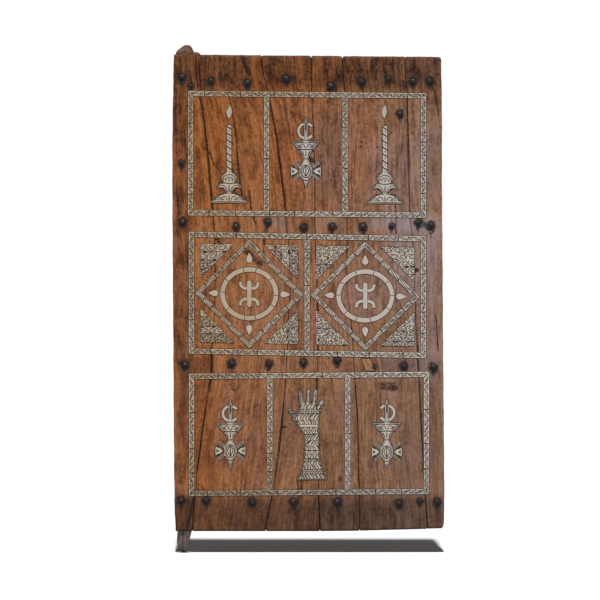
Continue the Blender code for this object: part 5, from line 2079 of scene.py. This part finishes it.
def light_sky():
    """Even sky light, seen by camera and mirrors as plain white."""
    world = bpy.data.worlds.new("studio_sky")
    bpy.context.scene.world = world
    world.use_nodes = True
    sky = Finish(world.node_tree)
    rays = sky.node("ShaderNodeLightPath", output="Is Camera Ray")
    seen = rays.larger(rays.other("Is Glossy Ray")).larger(rays.other("Is Transmission Ray"))
    strength = SKY_LIGHT + seen * (1.0 - SKY_LIGHT)
    shown = sky.node("ShaderNodeBackground", None, {"Color": (1.0, 1.0, 1.0, 1.0), "Strength": strength})
    sky.node("ShaderNodeOutputWorld", None, {"Surface": shown})


class DOOR_OT_stage(bpy.types.Operator):
    """Makes the floor, lamps, sky and camera"""

    bl_idname = "inlaid_door.stage"
    bl_label = "Stage"

    def execute(self, context):
        make_floor()
        light_sky()
        add_key()
        add_sun("back_light", BACK_LIGHT, BACK_TILT, BACK_SOFTNESS)
        middle = spot(PHOTO_SIDE / 2, PHOTO_SIDE / 2)
        reach = PHOTO_SIDE * PIXEL * CAMERA_LENS / CAMERA_SENSOR
        place = (middle.x, WOOD_FRONT - reach, middle.y)
        bpy.ops.object.camera_add(location=place, rotation=(math.pi / 2, 0.0, 0.0))
        camera = context.object
        camera.name = "photo_camera"
        camera.data.lens = CAMERA_LENS
        camera.data.sensor_width = CAMERA_SENSOR
        camera.data.clip_end = 200.0
        context.scene.camera = camera
        context.scene.view_settings.view_transform = "Standard"
        return {"FINISHED"}


OPERATORS = (
    DOOR_OT_stage, DOOR_OT_boards, DOOR_OT_pivots, DOOR_OT_battens, DOOR_OT_socket, DOOR_OT_borders,
    DOOR_OT_lozenges, DOOR_OT_rings, DOOR_OT_signs, DOOR_OT_corners, DOOR_OT_candlesticks, DOOR_OT_fibulas,
    DOOR_OT_hand, DOOR_OT_patch, DOOR_OT_nails,
)


class DOOR_PT_panel(bpy.types.Panel):
    """Lists the door's pieces, sizes and colours"""

    bl_idname = "DOOR_PT_panel"
    bl_label = "Inlaid Door"
    bl_space_type = "VIEW_3D"
    bl_region_type = "UI"
    bl_category = "Inlaid Door"

    def draw(self, context):
        for operator in OPERATORS:
            self.layout.operator(operator.bl_idname)
        for group in (context.scene.door_sizes, context.scene.door_colours):
            for name in group.__annotations__:
                self.layout.prop(group, name)


CLASSES = (DoorSizes, DoorColours, *OPERATORS, DOOR_PT_panel)


def register():
    for each in CLASSES:
        bpy.utils.register_class(each)
    bpy.types.Scene.door_sizes = PointerProperty(type=DoorSizes)
    bpy.types.Scene.door_colours = PointerProperty(type=DoorColours)


def unregister():
    del bpy.types.Scene.door_colours
    del bpy.types.Scene.door_sizes
    for each in reversed(CLASSES):
        bpy.utils.unregister_class(each)


def main():
    """Registers the add-on and makes every piece."""
    register()
    bpy.context.view_layer.update()
    bpy.ops.inlaid_door.stage()
    bpy.ops.inlaid_door.boards()
    bpy.ops.inlaid_door.pivots()
    bpy.ops.inlaid_door.battens()
    bpy.ops.inlaid_door.socket()
    bpy.ops.inlaid_door.borders()
    bpy.ops.inlaid_door.lozenges()
    bpy.ops.inlaid_door.rings()
    bpy.ops.inlaid_door.signs()
    bpy.ops.inlaid_door.corners()
    bpy.ops.inlaid_door.candlesticks()
    bpy.ops.inlaid_door.fibulas()
    bpy.ops.inlaid_door.hand()
    bpy.ops.inlaid_door.patch()
    bpy.ops.inlaid_door.nails()


if __name__ == "__main__":
    main()
